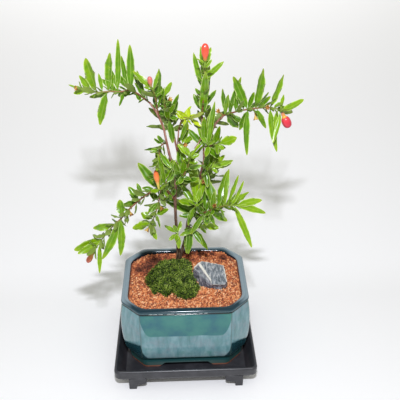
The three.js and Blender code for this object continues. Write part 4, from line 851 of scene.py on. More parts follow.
# Each shoot: its stem's radius at root and end, its route, and its leaves as (place on the stem
# 0-1, heading seen from the front with 0 right and 90 up, length, width). More leaves stand by
# rule: fill towards the front and the back, around all round the stem. The front leaves stand out
# before the others, each from its place on the stem to its tip.
SHOOTS = [
    {"name": "upper_left", "radius": (1, 0.7), "fill": 6,
     "route": [(-31, 6, 330), (-37, 4, 336), (-43, 2, 342), (-50, 1, 346), (-61, 0, 345), (-71, -1, 346),
               (-81, -3, 346), (-91, -5, 348), (-98, -6, 351)],
     "leaves": [(0.78, 115, 40, 11), (0.84, 125, 20, 6), (0.93, -170, 13, 5), (0.63, 95, 46, 8),
                (0.52, 90, 54, 6), (0.41, 100, 40, 5), (0.37, 90, 45, 8), (0.38, 125, 24, 6),
                (0.59, 90, 27, 4), (0.71, 100, 19, 4), (0.65, -115, 35, 9), (0.45, -110, 15, 6),
                (0.33, -170, 17, 6), (0.29, -55, 10, 5), (0.08, 110, 29, 5), (0.13, 100, 32, 5),
                (0.52, 135, 21, 6), (0.51, 105, 29, 4)]},
    {"name": "left_crest", "radius": (0.9, 0.7), "fill": 3,
     "route": [(-22, 9, 311), (-24, 7, 324), (-25, 5, 335), (-27, 2, 344), (-29, 0, 349)],
     "leaves": [(0.38, 85, 36, 9), (0.72, 130, 18, 5), (0.12, 160, 27, 6), (0.16, 130, 17, 4),
                (0.2, 105, 17, 4), (0.78, 72, 19, 4)]},
    {"name": "crest", "radius": (0.9, 0.7), "fill": 4,
     "route": [(-12, 23, 301), (-14, 20, 311), (-16, 17, 323), (-17, 15, 335)],
     "leaves": [(0.9, 70, 21, 6), (0.3, 100, 35, 8), (0.4, 110, 32, 5), (0.2, 55, 20, 7), (0.3, -20, 12, 5),
                (0.25, 140, 14, 6), (0.7, 115, 19, 5), (0.47, 70, 15, 5), (0.15, -75, 26, 7)],
     "front": [(0.05, (-16, 10, 322), 6), (0.3, (-6, 12, 326), 5)]},
    {"name": "yellow", "radius": (0.8, 0.6), "fill": 2,
     "route": [(-2, 25, 291), (1, 22, 302), (5, 18, 308), (12, 14, 307)],
     "leaves": [(0.51, 65, 16, 5), (0.75, 165, 13, 6), (0.95, 150, 17, 6), (0.9, 100, 12, 5),
                (1, -30, 12, 5), (0.6, -70, 14, 5)]},
    {"name": "top", "radius": (0.9, 1.1), "fill": 4,
     "route": [(23, 13, 309), (24, 10, 326), (24, 8, 342), (25, 6, 356), (26, 4, 373)],
     "leaves": [(0.52, 105, 38, 6), (0.82, 100, 30, 4), (0.71, 45, 27, 6), (0.12, 82, 50, 8),
                (0.36, 125, 14, 4), (0.12, 115, 20, 6), (0.15, 30, 10, 4), (0.89, 55, 12, 3)],
     "front": [(0.02, (27, -3, 362), 9)]},
    {"name": "right", "radius": (1, 0.7), "fill": 7,
     "route": [(46, 12, 312), (54, 9, 316), (65, 6, 320), (77, 3, 323), (88, 0, 325), (99, -3, 325),
               (105, -7, 323)],
     "leaves": [(0.06, 100, 30, 5), (0.11, 70, 41, 6), (0.41, 110, 39, 9), (0.17, 100, 16, 4),
                (0.23, 80, 19, 5), (0.36, 100, 20, 9), (0.41, 65, 19, 6), (0.52, 70, 45, 10),
                (0.55, 40, 18, 6), (0.74, 60, 38, 8), (0.95, 78, 19, 4), (0.97, 25, 28, 8),
                (0.43, -115, 24, 8), (0.41, -95, 47, 7), (0.49, -50, 18, 6), (0.54, -65, 25, 6),
                (0.74, -85, 45, 7), (0.88, -105, 20, 5), (0.95, -95, 33, 5), (0.98, -60, 26, 3),
                (0.05, -45, 21, 9), (0.08, -20, 17, 5), (0.13, -20, 10, 4), (0.79, 40, 10, 4)],
     "front": [(0.02, (49, 2, 338), 5)]},
    {"name": "right_high", "radius": (0.9, 0.7), "fill": 2,
     "route": [(30, 23, 269), (35, 16, 276), (41, 9, 280)],
     "leaves": [(1, 20, 22, 10), (0.5, 70, 14, 5), (0.9, -85, 10, 7), (0.5, -15, 16, 5)],
     "front": [(0.1, (11, 8, 302), 7), (0.6, (43, 2, 302), 7)]},
    {"name": "right_middle", "radius": (0.9, 0.7), "fill": 3,
     "route": [(24, 27, 244), (29, 18, 245), (34, 9, 252)],
     "leaves": [(1, 60, 19, 5), (1, 40, 20, 6), (1, 10, 26, 7), (0.5, 0, 15, 5), (0.6, 75, 43, 10),
                (0.4, 100, 22, 7)],
     "front": [(0.05, (37, 4, 297), 9), (0, (25, 12, 229), 8)]},
    {"name": "upper_middle", "radius": (0.8, 0.7), "fill": 2,
     "route": [(25, 20, 272), (28, 13, 276), (31, 6, 281)],
     "leaves": [(0.4, 130, 27, 7), (0.8, 95, 41, 8), (0.7, 115, 22, 5)],
     "front": [(0.3, (23, 4, 313), 7), (0.8, (34, 6, 328), 6)]},
    {"name": "inner_left", "radius": (0.7, 0.6), "fill": 1,
     "route": [(-3, 22, 280), (0, 15, 279), (3, 9, 278)],
     "leaves": [(0.7, 75, 20, 7), (0.8, 45, 20, 6), (1, -60, 12, 6)],
     "front": [(0, (-9, 8, 313), 6.5), (0.3, (8, 8, 309), 5.5)]},
    {"name": "centre", "radius": (1, 0.7), "fill": 4,
     "route": [(-7, 16, 226), (0, 5, 241), (7, -3, 260), (10, -8, 276)],
     "leaves": [(0.47, 100, 28, 10), (0.32, 100, 17, 7), (0.44, -120, 12, 6), (0.94, 130, 18, 6),
                (0.67, 65, 18, 7), (0.6, 10, 16, 6)],
     "front": [(0.2, (-6, -2, 267), 6.5), (0.35, (5, -8, 270), 7)]},
    {"name": "centre_tall", "radius": (1, 0.8), "fill": 3,
     "route": [(14, 33, 189), (15, 18, 196), (17, 3, 209)],
     "leaves": [(1, 95, 56, 11), (0.6, 120, 28, 8), (0.9, 78, 46, 8), (0.8, 160, 22, 8)]},
    {"name": "low_right", "radius": (1, 0.7), "fill": 7,
     "route": [(9, 35, 171), (21, 20, 184), (30, 8, 195), (38, -2, 205), (49, -8, 212), (60, -12, 214)],
     "leaves": [(0.16, 150, 45, 12), (0.25, 135, 19, 6), (0.34, 85, 28, 10), (0.56, 95, 34, 11),
                (0.65, 80, 40, 8), (0.78, 85, 39, 6), (0.82, 65, 36, 5), (0.6, 55, 16, 6), (0.88, 40, 25, 8),
                (0.67, 15, 24, 5), (1, 15, 30, 8), (1, -10, 38, 7), (0.96, -65, 52, 7), (0.44, -30, 25, 8),
                (0.38, -95, 18, 7), (0.4, -65, 18, 5), (0.93, 60, 30, 4), (0.18, -175, 24, 7),
                (0.22, 100, 22, 8)],
     "front": [(0.16, (-22, 10, 214), 12), (0.3, (8, 12, 158), 6), (0.5, (36, -8, 226), 6)]},
    {"name": "low_centre", "radius": (0.9, 0.6), "fill": 2,
     "route": [(7, 35, 163), (10, 26, 160), (18, 22, 164), (25, 20, 167)],
     "leaves": [(0.6, -150, 22, 6), (0.22, -90, 34, 8), (0.2, -103, 27, 5), (1, -5, 19, 8),
                (0.5, -60, 34, 8), (0.85, 30, 14, 6)],
     "front": [(0.2, (5, 22, 126), 7.5)]},
    {"name": "trunk_tuft", "radius": (0.8, 0.6),
     "route": [(-7, 29, 153), (-6, 22, 156)],
     "leaves": [(1, -85, 20, 6), (0.9, -140, 14, 5), (0.9, 150, 18, 5), (1, 75, 14, 5)]},
    {"name": "left_arch", "radius": (0.8, 0.6), "fill": 2,
     "route": [(-15, 9, 282), (-20, 5, 283), (-23, 1, 278), (-24, -3, 265), (-24, -6, 253)],
     "leaves": [(0.52, 170, 9, 5), (0.69, -140, 10, 4), (0.55, -55, 21, 6), (0.89, 60, 16, 6)]},
    {"name": "left_middle", "radius": (0.9, 0.7), "fill": 3,
     "route": [(-8, 14, 239), (-14, 5, 241), (-19, -1, 236), (-23, -8, 234), (-25, -12, 238)],
     "leaves": [(0.3, 110, 32, 9), (0.5, 95, 26, 7), (0.45, 50, 20, 6), (0.2, 80, 24, 7)],
     "front": [(0.3, (-9, -4, 265), 6), (0.5, (-20, -8, 279), 5)]},
    {"name": "low_left", "radius": (1.3, 0.6), "fill": 5,
     "route": [(-8, 20, 204), (-14, 12, 217), (-20, 5, 229), (-33, 0, 228), (-48, -6, 220), (-59, -11, 212),
               (-67, -15, 204), (-78, -19, 195), (-87, -22, 185), (-93, -24, 178), (-101, -27, 166)],
     "leaves": [(0.26, 120, 35, 10), (0.28, 165, 14, 5), (0.4, 120, 18, 7), (0.38, 95, 17, 5),
                (0.41, 140, 12, 4), (0.4, -155, 20, 7), (0.6, 100, 18, 10), (0.62, -110, 50, 9),
                (0.62, -85, 43, 8), (0.69, -170, 23, 8), (0.85, -155, 36, 10), (0.9, -150, 28, 8),
                (0.91, -90, 35, 5)],
     "front": [(0.27, (-15, -6, 269), 5.5)]},
    {"name": "hanging", "radius": (0.8, 0.6), "fill": 2,
     "route": [(-23, 4, 230), (-25, -1, 221), (-27, -4, 213), (-30, -8, 205), (-33, -11, 198),
               (-37, -14, 192)],
     "leaves": [(0.31, 135, 15, 7), (0.33, -135, 18, 6), (0.4, -130, 12, 4), (0.81, 150, 15, 9),
                (0.93, -170, 23, 10), (0.67, 25, 16, 8), (0.6, -70, 19, 3), (1, -65, 18, 7)]},
    {"name": "back_low", "radius": (1, 0.7), "around": 9,
     "route": [(-8, 20, 204), (-8, 36, 202), (-6, 50, 202), (-4, 62, 207)]},
    {"name": "back_right", "radius": (1, 0.7), "around": 9,
     "route": [(20, 31, 210), (27, 44, 209), (33, 55, 212), (38, 64, 219)]},
    {"name": "back_crest", "radius": (0.9, 0.7), "around": 7,
     "route": [(-8, 22, 289), (-11, 34, 290), (-15, 46, 293)]},
    {"name": "back_upper", "radius": (0.9, 0.7), "around": 7,
     "route": [(24, 16, 292), (28, 30, 291), (32, 44, 292)]},
]
SHOOT_GAP, SHOOT_SIDES, BARE_LENGTH = 0.3, 8, 3.2
KEEL, STALK_WIDTH, STALK_LENGTH = 1, 0.9, (3, 0.16)
YOUNG_LENGTH, YOUNG_SPACING, TURN_A_LEAF = (8, 19), 2.6, 2.4
SHORT_LEAF, MIDDLING_LEAF, INNER_SHARE, OUTER_SHARE, STEM_STEPS = 20, 32, 0.3, 0.7, 200
FRONT_TONE_PLACE = 0.6  # front leaves are as green as a leaf at this share of a stem
# The seeds of each kind of leaf start at these numbers, and at 1000 more for each next shoot.
SEEN_SEED, FRONT_SEED, FILL_SEED, YOUNG_SEED, AROUND_SEED = 0, 300, 500, 600, 700
FILL_DRAWS, YOUNG_DRAWS = 77, 91
LOOKED_DOWN = math.radians(31)
RIGHTWARDS = Vector((1, 0, 0))
UPWARDS = Vector((0, math.sin(LOOKED_DOWN), math.cos(LOOKED_DOWN)))
TOWARDS = Vector((0, -math.cos(LOOKED_DOWN), math.sin(LOOKED_DOWN)))
# The ways a leaf tries to bend clear: lifted, turned in its own plane, and made shorter.
BENDS = [
    (0, 0, 1), (14, 0, 1), (-14, 0, 1), (0, 9, 1), (0, -9, 1), (28, 6, 0.95), (-28, -6, 0.95),
    (24, -12, 0.9), (-24, 12, 0.9), (42, 0, 0.85), (-42, 0, 0.85),
]


def turned(direction, axis, angle):
    """A direction turned round an axis."""
    return Matrix.Rotation(angle, 3, axis) @ direction


def square_to(axis, direction):
    """A direction turned as little as possible to stand square to an axis."""
    return (direction - axis * direction.dot(axis)).normalized()


def bent(leaf, lift, turn, share):
    """A leaf bent clear: lifted and turned by degrees, and shortened to a share of its length."""
    across = leaf["face"].cross(leaf["along"])
    along = turned(leaf["along"], across, -math.radians(lift))
    face = turned(leaf["face"], across, -math.radians(lift))
    return {**leaf, "face": face, "along": turned(along, face, math.radians(turn)),
            "length": leaf["length"] * share}


def along_blade(leaf, share):
    """The middle of a blade and the direction out of its face, at a share of its length."""
    bow = leaf["curl"] if abs(leaf["curl"]) > 0.01 else 0.01
    forward = leaf["along"] * (math.sin(bow * share) / bow)
    lift = leaf["face"] * ((1 - math.cos(bow * share)) / bow)
    normal = swung(leaf["face"], -leaf["along"], bow * share)
    return leaf["root"] + leaf["length"] * (forward + lift), normal


def solid_of(points, faces):
    """What a leaf must stay clear of: a body with its box, for a quick first look."""
    low = [min(point[i] for point in points) for i in range(3)]
    high = [max(point[i] for point in points) for i in range(3)]
    return low, high, BVHTree.FromPolygons(points, faces)


def solid_of_node(node):
    """A CAD solid as a body to stay clear of, in millimetres."""
    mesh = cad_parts[node].data
    points = [(vertex.co - Vector((HOME.x, HOME.y, 0))) * 1000 for vertex in mesh.vertices]
    return solid_of(points, [tuple(face.vertices) for face in mesh.polygons])


def solid_of_blade(leaf, extra=0):
    """A plain blade with a keel, grown on all sides, to try a leaf's place with."""
    stalk = STALK_WIDTH / leaf["width"]
    if leaf["length"] <= SHORT_LEAF:
        outline = [(0, stalk), (0.45, 1)]
    elif leaf["length"] <= MIDDLING_LEAF:
        outline = [(0, stalk), (0.38, 1), (0.72, 0.8)]
    else:
        outline = [(0, stalk), (0.12, 1.4 * stalk), (0.45, 1), (0.78, 0.74)]
    across = leaf["face"].cross(leaf["along"])
    rings = [[leaf["root"]] * 3]
    for share, fullness in outline:
        middle, normal = along_blade(leaf, share)
        half = across * (leaf["width"] * fullness / 2 + extra)
        top = middle + normal * extra
        rings.append([top - half, top + half, middle - normal * (KEEL + extra)])
    rings.append([along_blade(leaf, 1 + extra / leaf["length"])[0]] * 3)
    return solid_of(points_of(rings), lofted(rings))


def meets(solid, other):
    """Whether the surfaces of two bodies cross."""
    if any(solid[0][i] > other[1][i] or other[0][i] > solid[1][i] for i in range(3)):
        return False
    return bool(solid[2].overlap(other[2]))


def grow_leaf(shoot, leaf, by_rule):
    """Adds a leaf to a shoot where one of its bends is clear of everything else."""
    for bend in BENDS:
        tried = bent(leaf, *bend)
        room = solid_of_blade(tried, SHOOT_GAP + 0.05)
        if room[0][2] < GRIT_LEVEL + 2 and abs(tried["root"].x) < TRAY_WIDTH / 2:
            continue
        if any(owner != shoot["name"] and meets(room, solid) for owner, solid in obstacles):
            continue
        if by_rule:
            root = tried["root"] + INNER_SHARE * tried["length"] * tried["along"]
            outer = solid_of_blade({**tried, "root": root, "length": OUTER_SHARE * tried["length"]})
            if any(meets(outer, other) for other in shoot["grown"]):
                continue
        solid = solid_of_blade(tried)
        obstacles.append((shoot["name"], solid))
        shoot["grown"].append(solid)
        shoot["blades"].append(tried)
        return


def leaf_on(shoot, place, along, facing, roll, length, width, curl):
    """A leaf at a place on a stem, its face rolled by degrees from the way that it should face."""
    return {"root": on_curve(shoot["curve"], place), "place": place, "along": along,
            "face": turned(square_to(along, facing), along, math.radians(roll)),
            "length": length, "width": width, "curl": curl}


def seen_leaf(shoot, place, heading, length, width, seed):
    """A leaf whose heading is seen from the front."""
    draw = seeded_draw(seed)
    lean = math.radians(draw(-20, 20))
    along = swung(swung(RIGHTWARDS, UPWARDS, math.radians(heading)), TOWARDS, lean)
    place, length = max(place, shoot["bare"]), length / math.cos(lean)
    return leaf_on(shoot, place, along, TOWARDS, draw(-38, 38), length, width, draw(-0.5, 0.15))


def rule_leaf(shoot, place, turn, seed):
    """A leaf turned round its stem by an angle from the direction towards the front."""
    draw = seeded_draw(seed)
    place = max(place, shoot["bare"])
    near = (max(place - 1e-4, 0), min(place + 1e-4, 1))
    stem = (on_curve(shoot["curve"], near[1]) - on_curve(shoot["curve"], near[0])).normalized()
    out = turned(square_to(stem, TOWARDS), stem, turn)
    spread = math.radians(draw(40, 68))
    along, roll, length = swung(stem, out, spread), draw(-30, 30), draw(17, 29)
    return leaf_on(shoot, place, along, stem, roll, length, length * draw(0.22, 0.3), draw(-0.6, 0.1))


def front_leaf(shoot, place, tip, width, seed):
    """A leaf from its place on the stem to its tip, with its face to the front."""
    draw = seeded_draw(seed)
    reach = Vector(tip) - on_curve(shoot["curve"], place)
    along, roll, curl = reach.normalized(), draw(-30, 30), draw(-0.3, 0.1)
    leaf = leaf_on(shoot, place, along, TOWARDS, roll, reach.length, width, curl)
    return {**leaf, "place": FRONT_TONE_PLACE}


def young_leaf(shoot, place, turn, seed):
    """A small leaf in one of the tufts along a stem."""
    draw = seeded_draw(seed)
    leaf = rule_leaf(shoot, place, turn, seed)
    length = draw(*YOUNG_LENGTH)
    return {**leaf, "length": length, "width": length * draw(0.32, 0.46), "curl": draw(-0.9, 0.4)}


obstacles = [(node, solid_of_node(node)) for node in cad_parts
             if node in ("pot", "rock", "moss", "trunk") or node.startswith("bud")]
for shoot in SHOOTS:
    route = shoot["curve"] = [Vector(point) for point in shoot["route"]]
    path = [on_curve(route, i / STEM_STEPS) for i in range(STEM_STEPS + 1)]
    shoot["bare"] = BARE_LENGTH / sum((b - a).length for a, b in zip(path, path[1:]))
    steps = math.ceil(1.5 * (len(route) - 1))
    shoot["blades"], shoot["grown"] = [], []
    for extra in (0, SHOOT_GAP):
        rings = tube_rings(route, [radius + extra for radius in shoot["radius"]], 4, steps)
        solid = solid_of(points_of(rings), lofted(rings))
        if extra:
            obstacles.append((shoot["name"], solid))
        else:
            shoot["grown"].append(solid)
# First the listed leaves, then those by rule, the front leaves and the young tufts.
for number, shoot in enumerate(SHOOTS, 1):
    for i, leaf in enumerate(shoot.get("leaves", [])):
        grow_leaf(shoot, seen_leaf(shoot, *leaf, 1000 * number + SEEN_SEED + i), False)
for number, shoot in enumerate(SHOOTS, 1):
    draw = seeded_draw(FILL_DRAWS * number)
    fill, around = shoot.get("fill", 0), shoot.get("around", 0)
    for i in range(fill):
        turn = (0 if i % 3 == 1 else math.pi) + draw(-0.9, 0.9)
        grow_leaf(shoot, rule_leaf(shoot, (i + 0.7) / fill, turn, 1000 * number + FILL_SEED + i), True)
    for i in range(around):
        turn = i * TURN_A_LEAF + draw(-0.3, 0.3)
        share = (i + 1.5) / (around + 0.5)
        grow_leaf(shoot, rule_leaf(shoot, share, turn, 1000 * number + AROUND_SEED + i), True)
for number, shoot in enumerate(SHOOTS, 1):
    for i, leaf in enumerate(shoot.get("front", [])):
        grow_leaf(shoot, front_leaf(shoot, *leaf, 1000 * number + FRONT_SEED + i), False)
for number, shoot in enumerate(SHOOTS, 1):
    draw = seeded_draw(YOUNG_DRAWS * number)
    count = int(BARE_LENGTH / shoot["bare"] / YOUNG_SPACING)
    for i in range(count):
        share = min((i // 2 * 2 + 1.5 + draw(-0.3, 0.3)) / count, 1)
        turn = i * TURN_A_LEAF + draw(-0.5, 0.5)
        grow_leaf(shoot, young_leaf(shoot, share, turn, 1000 * number + YOUNG_SEED + i), True)

green_twig, shader, add = start_material("green pomegranate twig", roughness=0.55, ior=1.45)
# A shoot stays green and smooth where it grew last and turns brown and dull towards its root.
twig_colour = add("ValToRGB", marked(add, "leaf")["Red"],
                  stops=[(0, "#74402f"), (0.45, "#8c5a3e"), (0.75, "#86803c"), (1, "#86a83c")])
feed(shader.inputs["Base Color"], twig_colour)

leaf_top, shader, add = start_material("pomegranate leaf, upper side", roughness=0.26, ior=1.45)
# The upper side has a thick waxy skin that shines. Old leaves are deep green and young ones
# yellow-green, and the midrib shows as a pale line. Towards its margins the blade is painted pale
# yellow-green as a painted highlight.
age, along_leaf, across_leaf = marked(add, "leaf")
mottle = add("TexNoise", add("TexCoord").outputs["Object"], Scale=180, Detail=2)
age = add("Math", mottle, 0.3, age, operation="MULTIPLY_ADD")
age = add("Math", age, 0.15, operation="SUBTRACT")
leaf_colour = add("ValToRGB", age, stops=[(0, "#2c4c04"), (0.28, "#568606"), (0.55, "#94b80c"),
                                          (0.8, "#c8da20"), (1, "#e0d648")])
leaf_colour = turning(add, leaf_colour, "#a4b41c", along_leaf, 0.8, 1, 0.6)
from_midrib = add("Math", across_leaf, 0.5, operation="SUBTRACT")
aside = add("Math", from_midrib, operation="ABSOLUTE")
# Painted highlight: pale yellow-green towards the margins.
leaf_colour = turning(add, leaf_colour, "#dcee90", aside, 0.37, 0.5, 0.8)
midrib = add("MapRange", aside, From_Min=0.02, From_Max=0.07, To_Min=0.3, To_Max=0)
leaf_colour = add("Mix", midrib, leaf_colour, "#a8b860", data_type="RGBA")
feed(shader.inputs["Base Color"], leaf_colour)

leaf_back, shader, add = start_material("pomegranate leaf, underside", roughness=0.55, ior=1.42)
# The underside has a thinner skin, so it is paler and duller.
back_colour = add("ValToRGB", marked(add, "leaf")["Red"],
                  stops=[(0, "#5c7430"), (0.6, "#869c40"), (1, "#b8b850")])
feed(shader.inputs["Base Color"], back_colour)

BLADE_THICKNESS, FOLD_DEPTH, BLADE_FULLNESS, THINNEST_HALF = 0.3, 0.42, 0.6, 0.12
RIPPLE_HEIGHT, EDGE_WAVE, EDGE_WAVES, BLADE_STEPS = 0.1, 0.07, 1.7, 15
# The shares of a blade's length where its rings stand: close together at both ends.
BLADE_SHARES = [(1 - math.cos(math.pi * i / BLADE_STEPS)) / 2 for i in range(BLADE_STEPS + 1)]
ACROSS_TOP, ACROSS_BACK, TOP_FACES = (1, 0.5, 0, -0.5, -1), (-0.5, 0, 0.5), 4
BLADE_SEED, YELLOW_TONE, TONE_RANGE = 50000, 0.65, 0.56
UPRIGHT_GROWTH = 0.1  # how much longer a leaf is that stands up in the light


def blade_rings(leaf, draw):
    """Rings across a leaf from stalk to tip, folded at the midrib, twisted and a little wavy."""
    leaf = {**leaf, "length": leaf["length"] * (1 + UPRIGHT_GROWTH * max(leaf["along"].dot(UPWARDS), 0))}
    twist, wave, phase = math.radians(draw(-28, 28)), draw(1.5, 2.6), draw(0, ANY_WAY)
    sickle = draw(-0.2, 0.2) * leaf["length"] / 2
    stalk = min(STALK_LENGTH[0] / leaf["length"], STALK_LENGTH[1])
    rings = []
    for share in BLADE_SHARES:
        middle, normal = along_blade(leaf, share)
        forward = leaf["face"].cross(leaf["along"]).cross(-normal)
        normal = turned(normal, forward, twist * share)
        across = normal.cross(forward)
        grown = min(max((share - stalk) / (1 - stalk), 0), 1)
        middle = middle + across * sickle * share ** 2
        fullness = max(math.sin(math.pi * grown ** 0.85), 0) ** BLADE_FULLNESS
        uneven = 1 + EDGE_WAVE * math.sin(2 * math.pi * EDGE_WAVES * wave * share + 2 * phase)
        half = max(leaf["width"] * 0.54 * fullness * uneven, STALK_WIDTH / 2 * (1 - grown))
        half = max(half, THINNEST_HALF)
        fold = FOLD_DEPTH * half * min(fullness * 1.5, 1)
        ripple = RIPPLE_HEIGHT * leaf["width"] * fullness * math.sin(2 * math.pi * wave * share + phase)
        thick = BLADE_THICKNESS + (STALK_WIDTH - BLADE_THICKNESS) * max(1 - 6 * grown, 0)
        ring = []
        for sides, depth in ((ACROSS_TOP, 0), (ACROSS_BACK, thick)):
            for side in sides:
                height = fold * (abs(side) - 1) + ripple * side * abs(side) - depth
                ring.append(middle + across * (half * side) + normal * height)
        rings.append(ring)
    return rings


for number, shoot in enumerate(SHOOTS, 1):
    steps = STEPS_A_SPAN * (len(shoot["route"]) - 1)
    rings = tube_rings(shoot["route"], shoot["radius"], SHOOT_SIDES, steps)
    points, faces = points_of(rings), lofted(rings)
    marks = [(i / steps, 0, 0, 1) for i in range(steps + 1) for j in range(SHOOT_SIDES)]
    slots = [2] * len(faces)
    for i, leaf in enumerate(shoot["blades"]):
        draw = seeded_draw(BLADE_SEED + 100 * number + i)
        least = YELLOW_TONE if shoot["name"] == "yellow" else 0.08 + 0.28 * leaf["place"]
        tone = min(least + draw(0, TONE_RANGE), 1)
        rings = blade_rings(leaf, draw)
        blade_faces = lofted(rings, len(points))
        slots += [0 if k % len(rings[0]) < TOP_FACES else 1 for k in range(len(blade_faces))]
        for share in BLADE_SHARES:
            marks += [(tone, share, 0.5 + side / 2, 1) for side in ACROSS_TOP + ACROSS_BACK]
        points += points_of(rings)
        faces += blade_faces
    piece = make_piece("leafy_shoot_" + shoot["name"], points, faces, [leaf_top, leaf_back, green_twig],
                       crease=50)
    piece.data.polygons.foreach_set("material_index", slots)
    paint(piece, "leaf", marks)
    stands_for(piece, "leaf", "spray_" + shoot["name"])

# ---- Flower buds -----------------------------------------------------------------------------
# Pomegranate buds with a thick waxy calyx, which is closed over the petals in six lobes and
# narrows to a green or yellow neck on the end of its stalk.

# The outlines are (share of the length, share of the greatest radius).
PLUMP = [(0, 0.3), (0.1, 0.52), (0.26, 0.62), (0.42, 0.88), (0.6, 1), (0.78, 0.94), (0.9, 0.72),
         (0.97, 0.42), (1, 0.02)]
SLENDER = [(0, 0.35), (0.2, 0.5), (0.38, 0.66), (0.55, 1), (0.7, 1), (0.84, 0.8), (0.95, 0.42), (1, 0.02)]
ROUND = [(0, 0.26), (0.12, 0.4), (0.22, 0.38), (0.3, 0.6), (0.42, 0.9), (0.58, 1), (0.76, 0.96),
         (0.9, 0.74), (0.97, 0.42), (1, 0.02)]
# Each bud: (its name, the end of its stalk, its tip, radius, outline, colours from neck to tip).
BUDS = [
    ("top", (26, 4, 373.5), (26, 4, 392), 3.9, PLUMP,
     [(0, "#6f9a2c"), (0.2, "#c8702c"), (0.34, "#f05a3c"), (1, "#ee4a38")]),
    ("right", (105, -7, 322), (113, -9, 306), 4.8, ROUND,
     [(0, "#c0705a"), (0.16, "#e89a4c"), (0.27, "#f4b440"), (0.33, "#e0404a"), (0.9, "#c8203c"),
      (1, "#5c1420")]),
    ("middle", (-25, -12, 237.5), (-28, -14, 262), 3, SLENDER,
     [(0, "#b8bc4a"), (0.3, "#e8c060"), (0.5, "#ee8a3c"), (1, "#e86a34")]),
    ("low", (-101, -27, 166), (-109, -29, 153.5), 3.2, PLUMP,
     [(0, "#a8a03c"), (0.3, "#d0883c"), (0.6, "#c86a44"), (1, "#b04c3c")]),
    ("crest", (-29, 0, 349), (-30, -1, 361), 2.7, PLUMP,
     [(0, "#8aa040"), (0.3, "#c88a64"), (0.6, "#d87a68"), (1, "#cc6a62")]),
]
BUD_SIDES, BUD_STEPS, LOBES, SEAM_DEPTH, SEAM_START = 24, 3, 6, 0.2, 0.35

for name, start, end, greatest, outline, stops in BUDS:
    waxy_calyx, shader, add = start_material("waxy calyx, " + name + " bud", 0.3, 1.47, coat=0.3)
    # The calyx is fleshy and smooth, and its colour deepens from the neck to the tip.
    feed(shader.inputs["Base Color"], add("ValToRGB", marked(add, "bud")["Red"], stops=stops))
    start, end = Vector(start), Vector(end)
    along = (end - start).normalized()
    across = square_to(along, Vector((0, 1, 0)))
    up = along.cross(across)
    rings, marks = [], []
    for share, full in smoothed(outline, BUD_STEPS):
        ring = []
        for turn in turns_round(BUD_SIDES):
            seam = SEAM_DEPTH * max(math.cos(LOBES * turn), 0) ** 3 * max(share - SEAM_START, 0)
            radius = greatest * max(full, 0.02) * (1 - seam)
            ring.append(start + (end - start) * share + radius * swung(across, up, turn))
        rings.append(ring)
        marks += [(share, 0, 0, 1)] * BUD_SIDES
    piece = make_piece("flower_bud_" + name, points_of(rings), lofted(rings), [waxy_calyx], crease=60)
    paint(piece, "bud", marks)
    stands_for(piece, "bud_orange" if name in ("middle", "low") else "bud_red", "bud_" + name)

# ---- Spent calyxes ---------------------------------------------------------------------------
# Dry cups left on the shoots where flowers and side buds fell off: thin, papery, orange-brown, and
# open in six pointed lobes. Each is still grown on by its short stalk.

# Where each cup's stalk starts, and the middle of its open mouth.
SPENT = [
    ((-16, 17, 326), (-9, 12, 332)), ((22, 29, 230), (25, 17, 228)), ((38, -2, 205), (36, -7, 212)),
    ((46, 12, 312), (39, 7, 320)), ((-27, -4, 213), (-22, -9, 209)), ((-59, -11, 212), (-56, -16, 206)),
    ((-37, -14, 192), (-41, -18, 186)), ((88, 0, 325), (90, -7, 328)), ((77, 3, 323), (79, -2, 312)),
    ((-98, -6, 351), (-104, -9, 353)), ((3, 9, 278), (5, 2, 283)),
]
# The cup from its stalk, over its mouth and down inside, as [share of its height, radius].
CUP_OUTSIDE, CUP_INSIDE = [(0, 0.5), (0.2, 1.1), (0.5, 1.7)], [(0.6, 1.2), (0.35, 0.5)]
CUP_HEIGHT, LOBE_REACH, LOBE_NOTCH, CUP_LOBES, CUP_WALL = 5, 3.1, 1.8, 6, 0.4
dry_calyx, shader, add = start_material("dry papery calyx", roughness=0.7, ior=1.4)
# A calyx dries from waxy red to dull orange-brown, in soft clouds of darker and paler tone.
dry_colour = clouded(add, [(0.35, "#6e4a22"), (0.5, "#b8823c"), (0.62, "#d8b060"), (0.75, "#c8c070")],
                     Scale=320, Detail=3)
feed(shader.inputs["Base Color"], dry_colour)
cup_points, cup_faces = [], []
for start, end in SPENT:
    start, end = Vector(start), Vector(end)
    along = (end - start).normalized()
    across = square_to(along, RIGHTWARDS)
    up = along.cross(across)
    foot = end - along * CUP_HEIGHT
    # Each ring's lobes and notches, as (middle, radius) of each.
    outside = [(foot + along * CUP_HEIGHT * share, radius) for share, radius in CUP_OUTSIDE]
    inside = [(foot + along * CUP_HEIGHT * share, radius) for share, radius in CUP_INSIDE]
    mouth = []
    for back, height, thinner in ((0, 0.75, 0), (0.2, 0.8, CUP_WALL)):
        notch = foot + along * CUP_HEIGHT * height
        mouth.append(((end - along * back, LOBE_REACH - thinner), (notch, LOBE_NOTCH - thinner)))
    rings = []
    outside.insert(0, (start, CUP_OUTSIDE[0][1]))
    for lobe_and_notch in [(row, row) for row in outside] + mouth + [(row, row) for row in inside]:
        ring = []
        for j, turn in enumerate(turns_round(2 * CUP_LOBES)):
            middle, radius = lobe_and_notch[j % 2]
            ring.append(middle + radius * swung(across, up, turn))
        rings.append(ring)
    cup_faces += lofted(rings, len(cup_points))
    cup_points += points_of(rings)
cups = make_piece("spent_calyxes", cup_points, cup_faces, [dry_calyx], crease=40)
stands_for(cups, "bud_orange")

# ---- Paper sweep and studio lights -----------------------------------------------------------
# A sheet of white studio paper lies under the bonsai and rises gently behind it, low
# enough to be looked over from the back. A small strip light high in front throws the tree's
# shadows on it, a wide soft box lights its far part, and the white room fills the shadows.

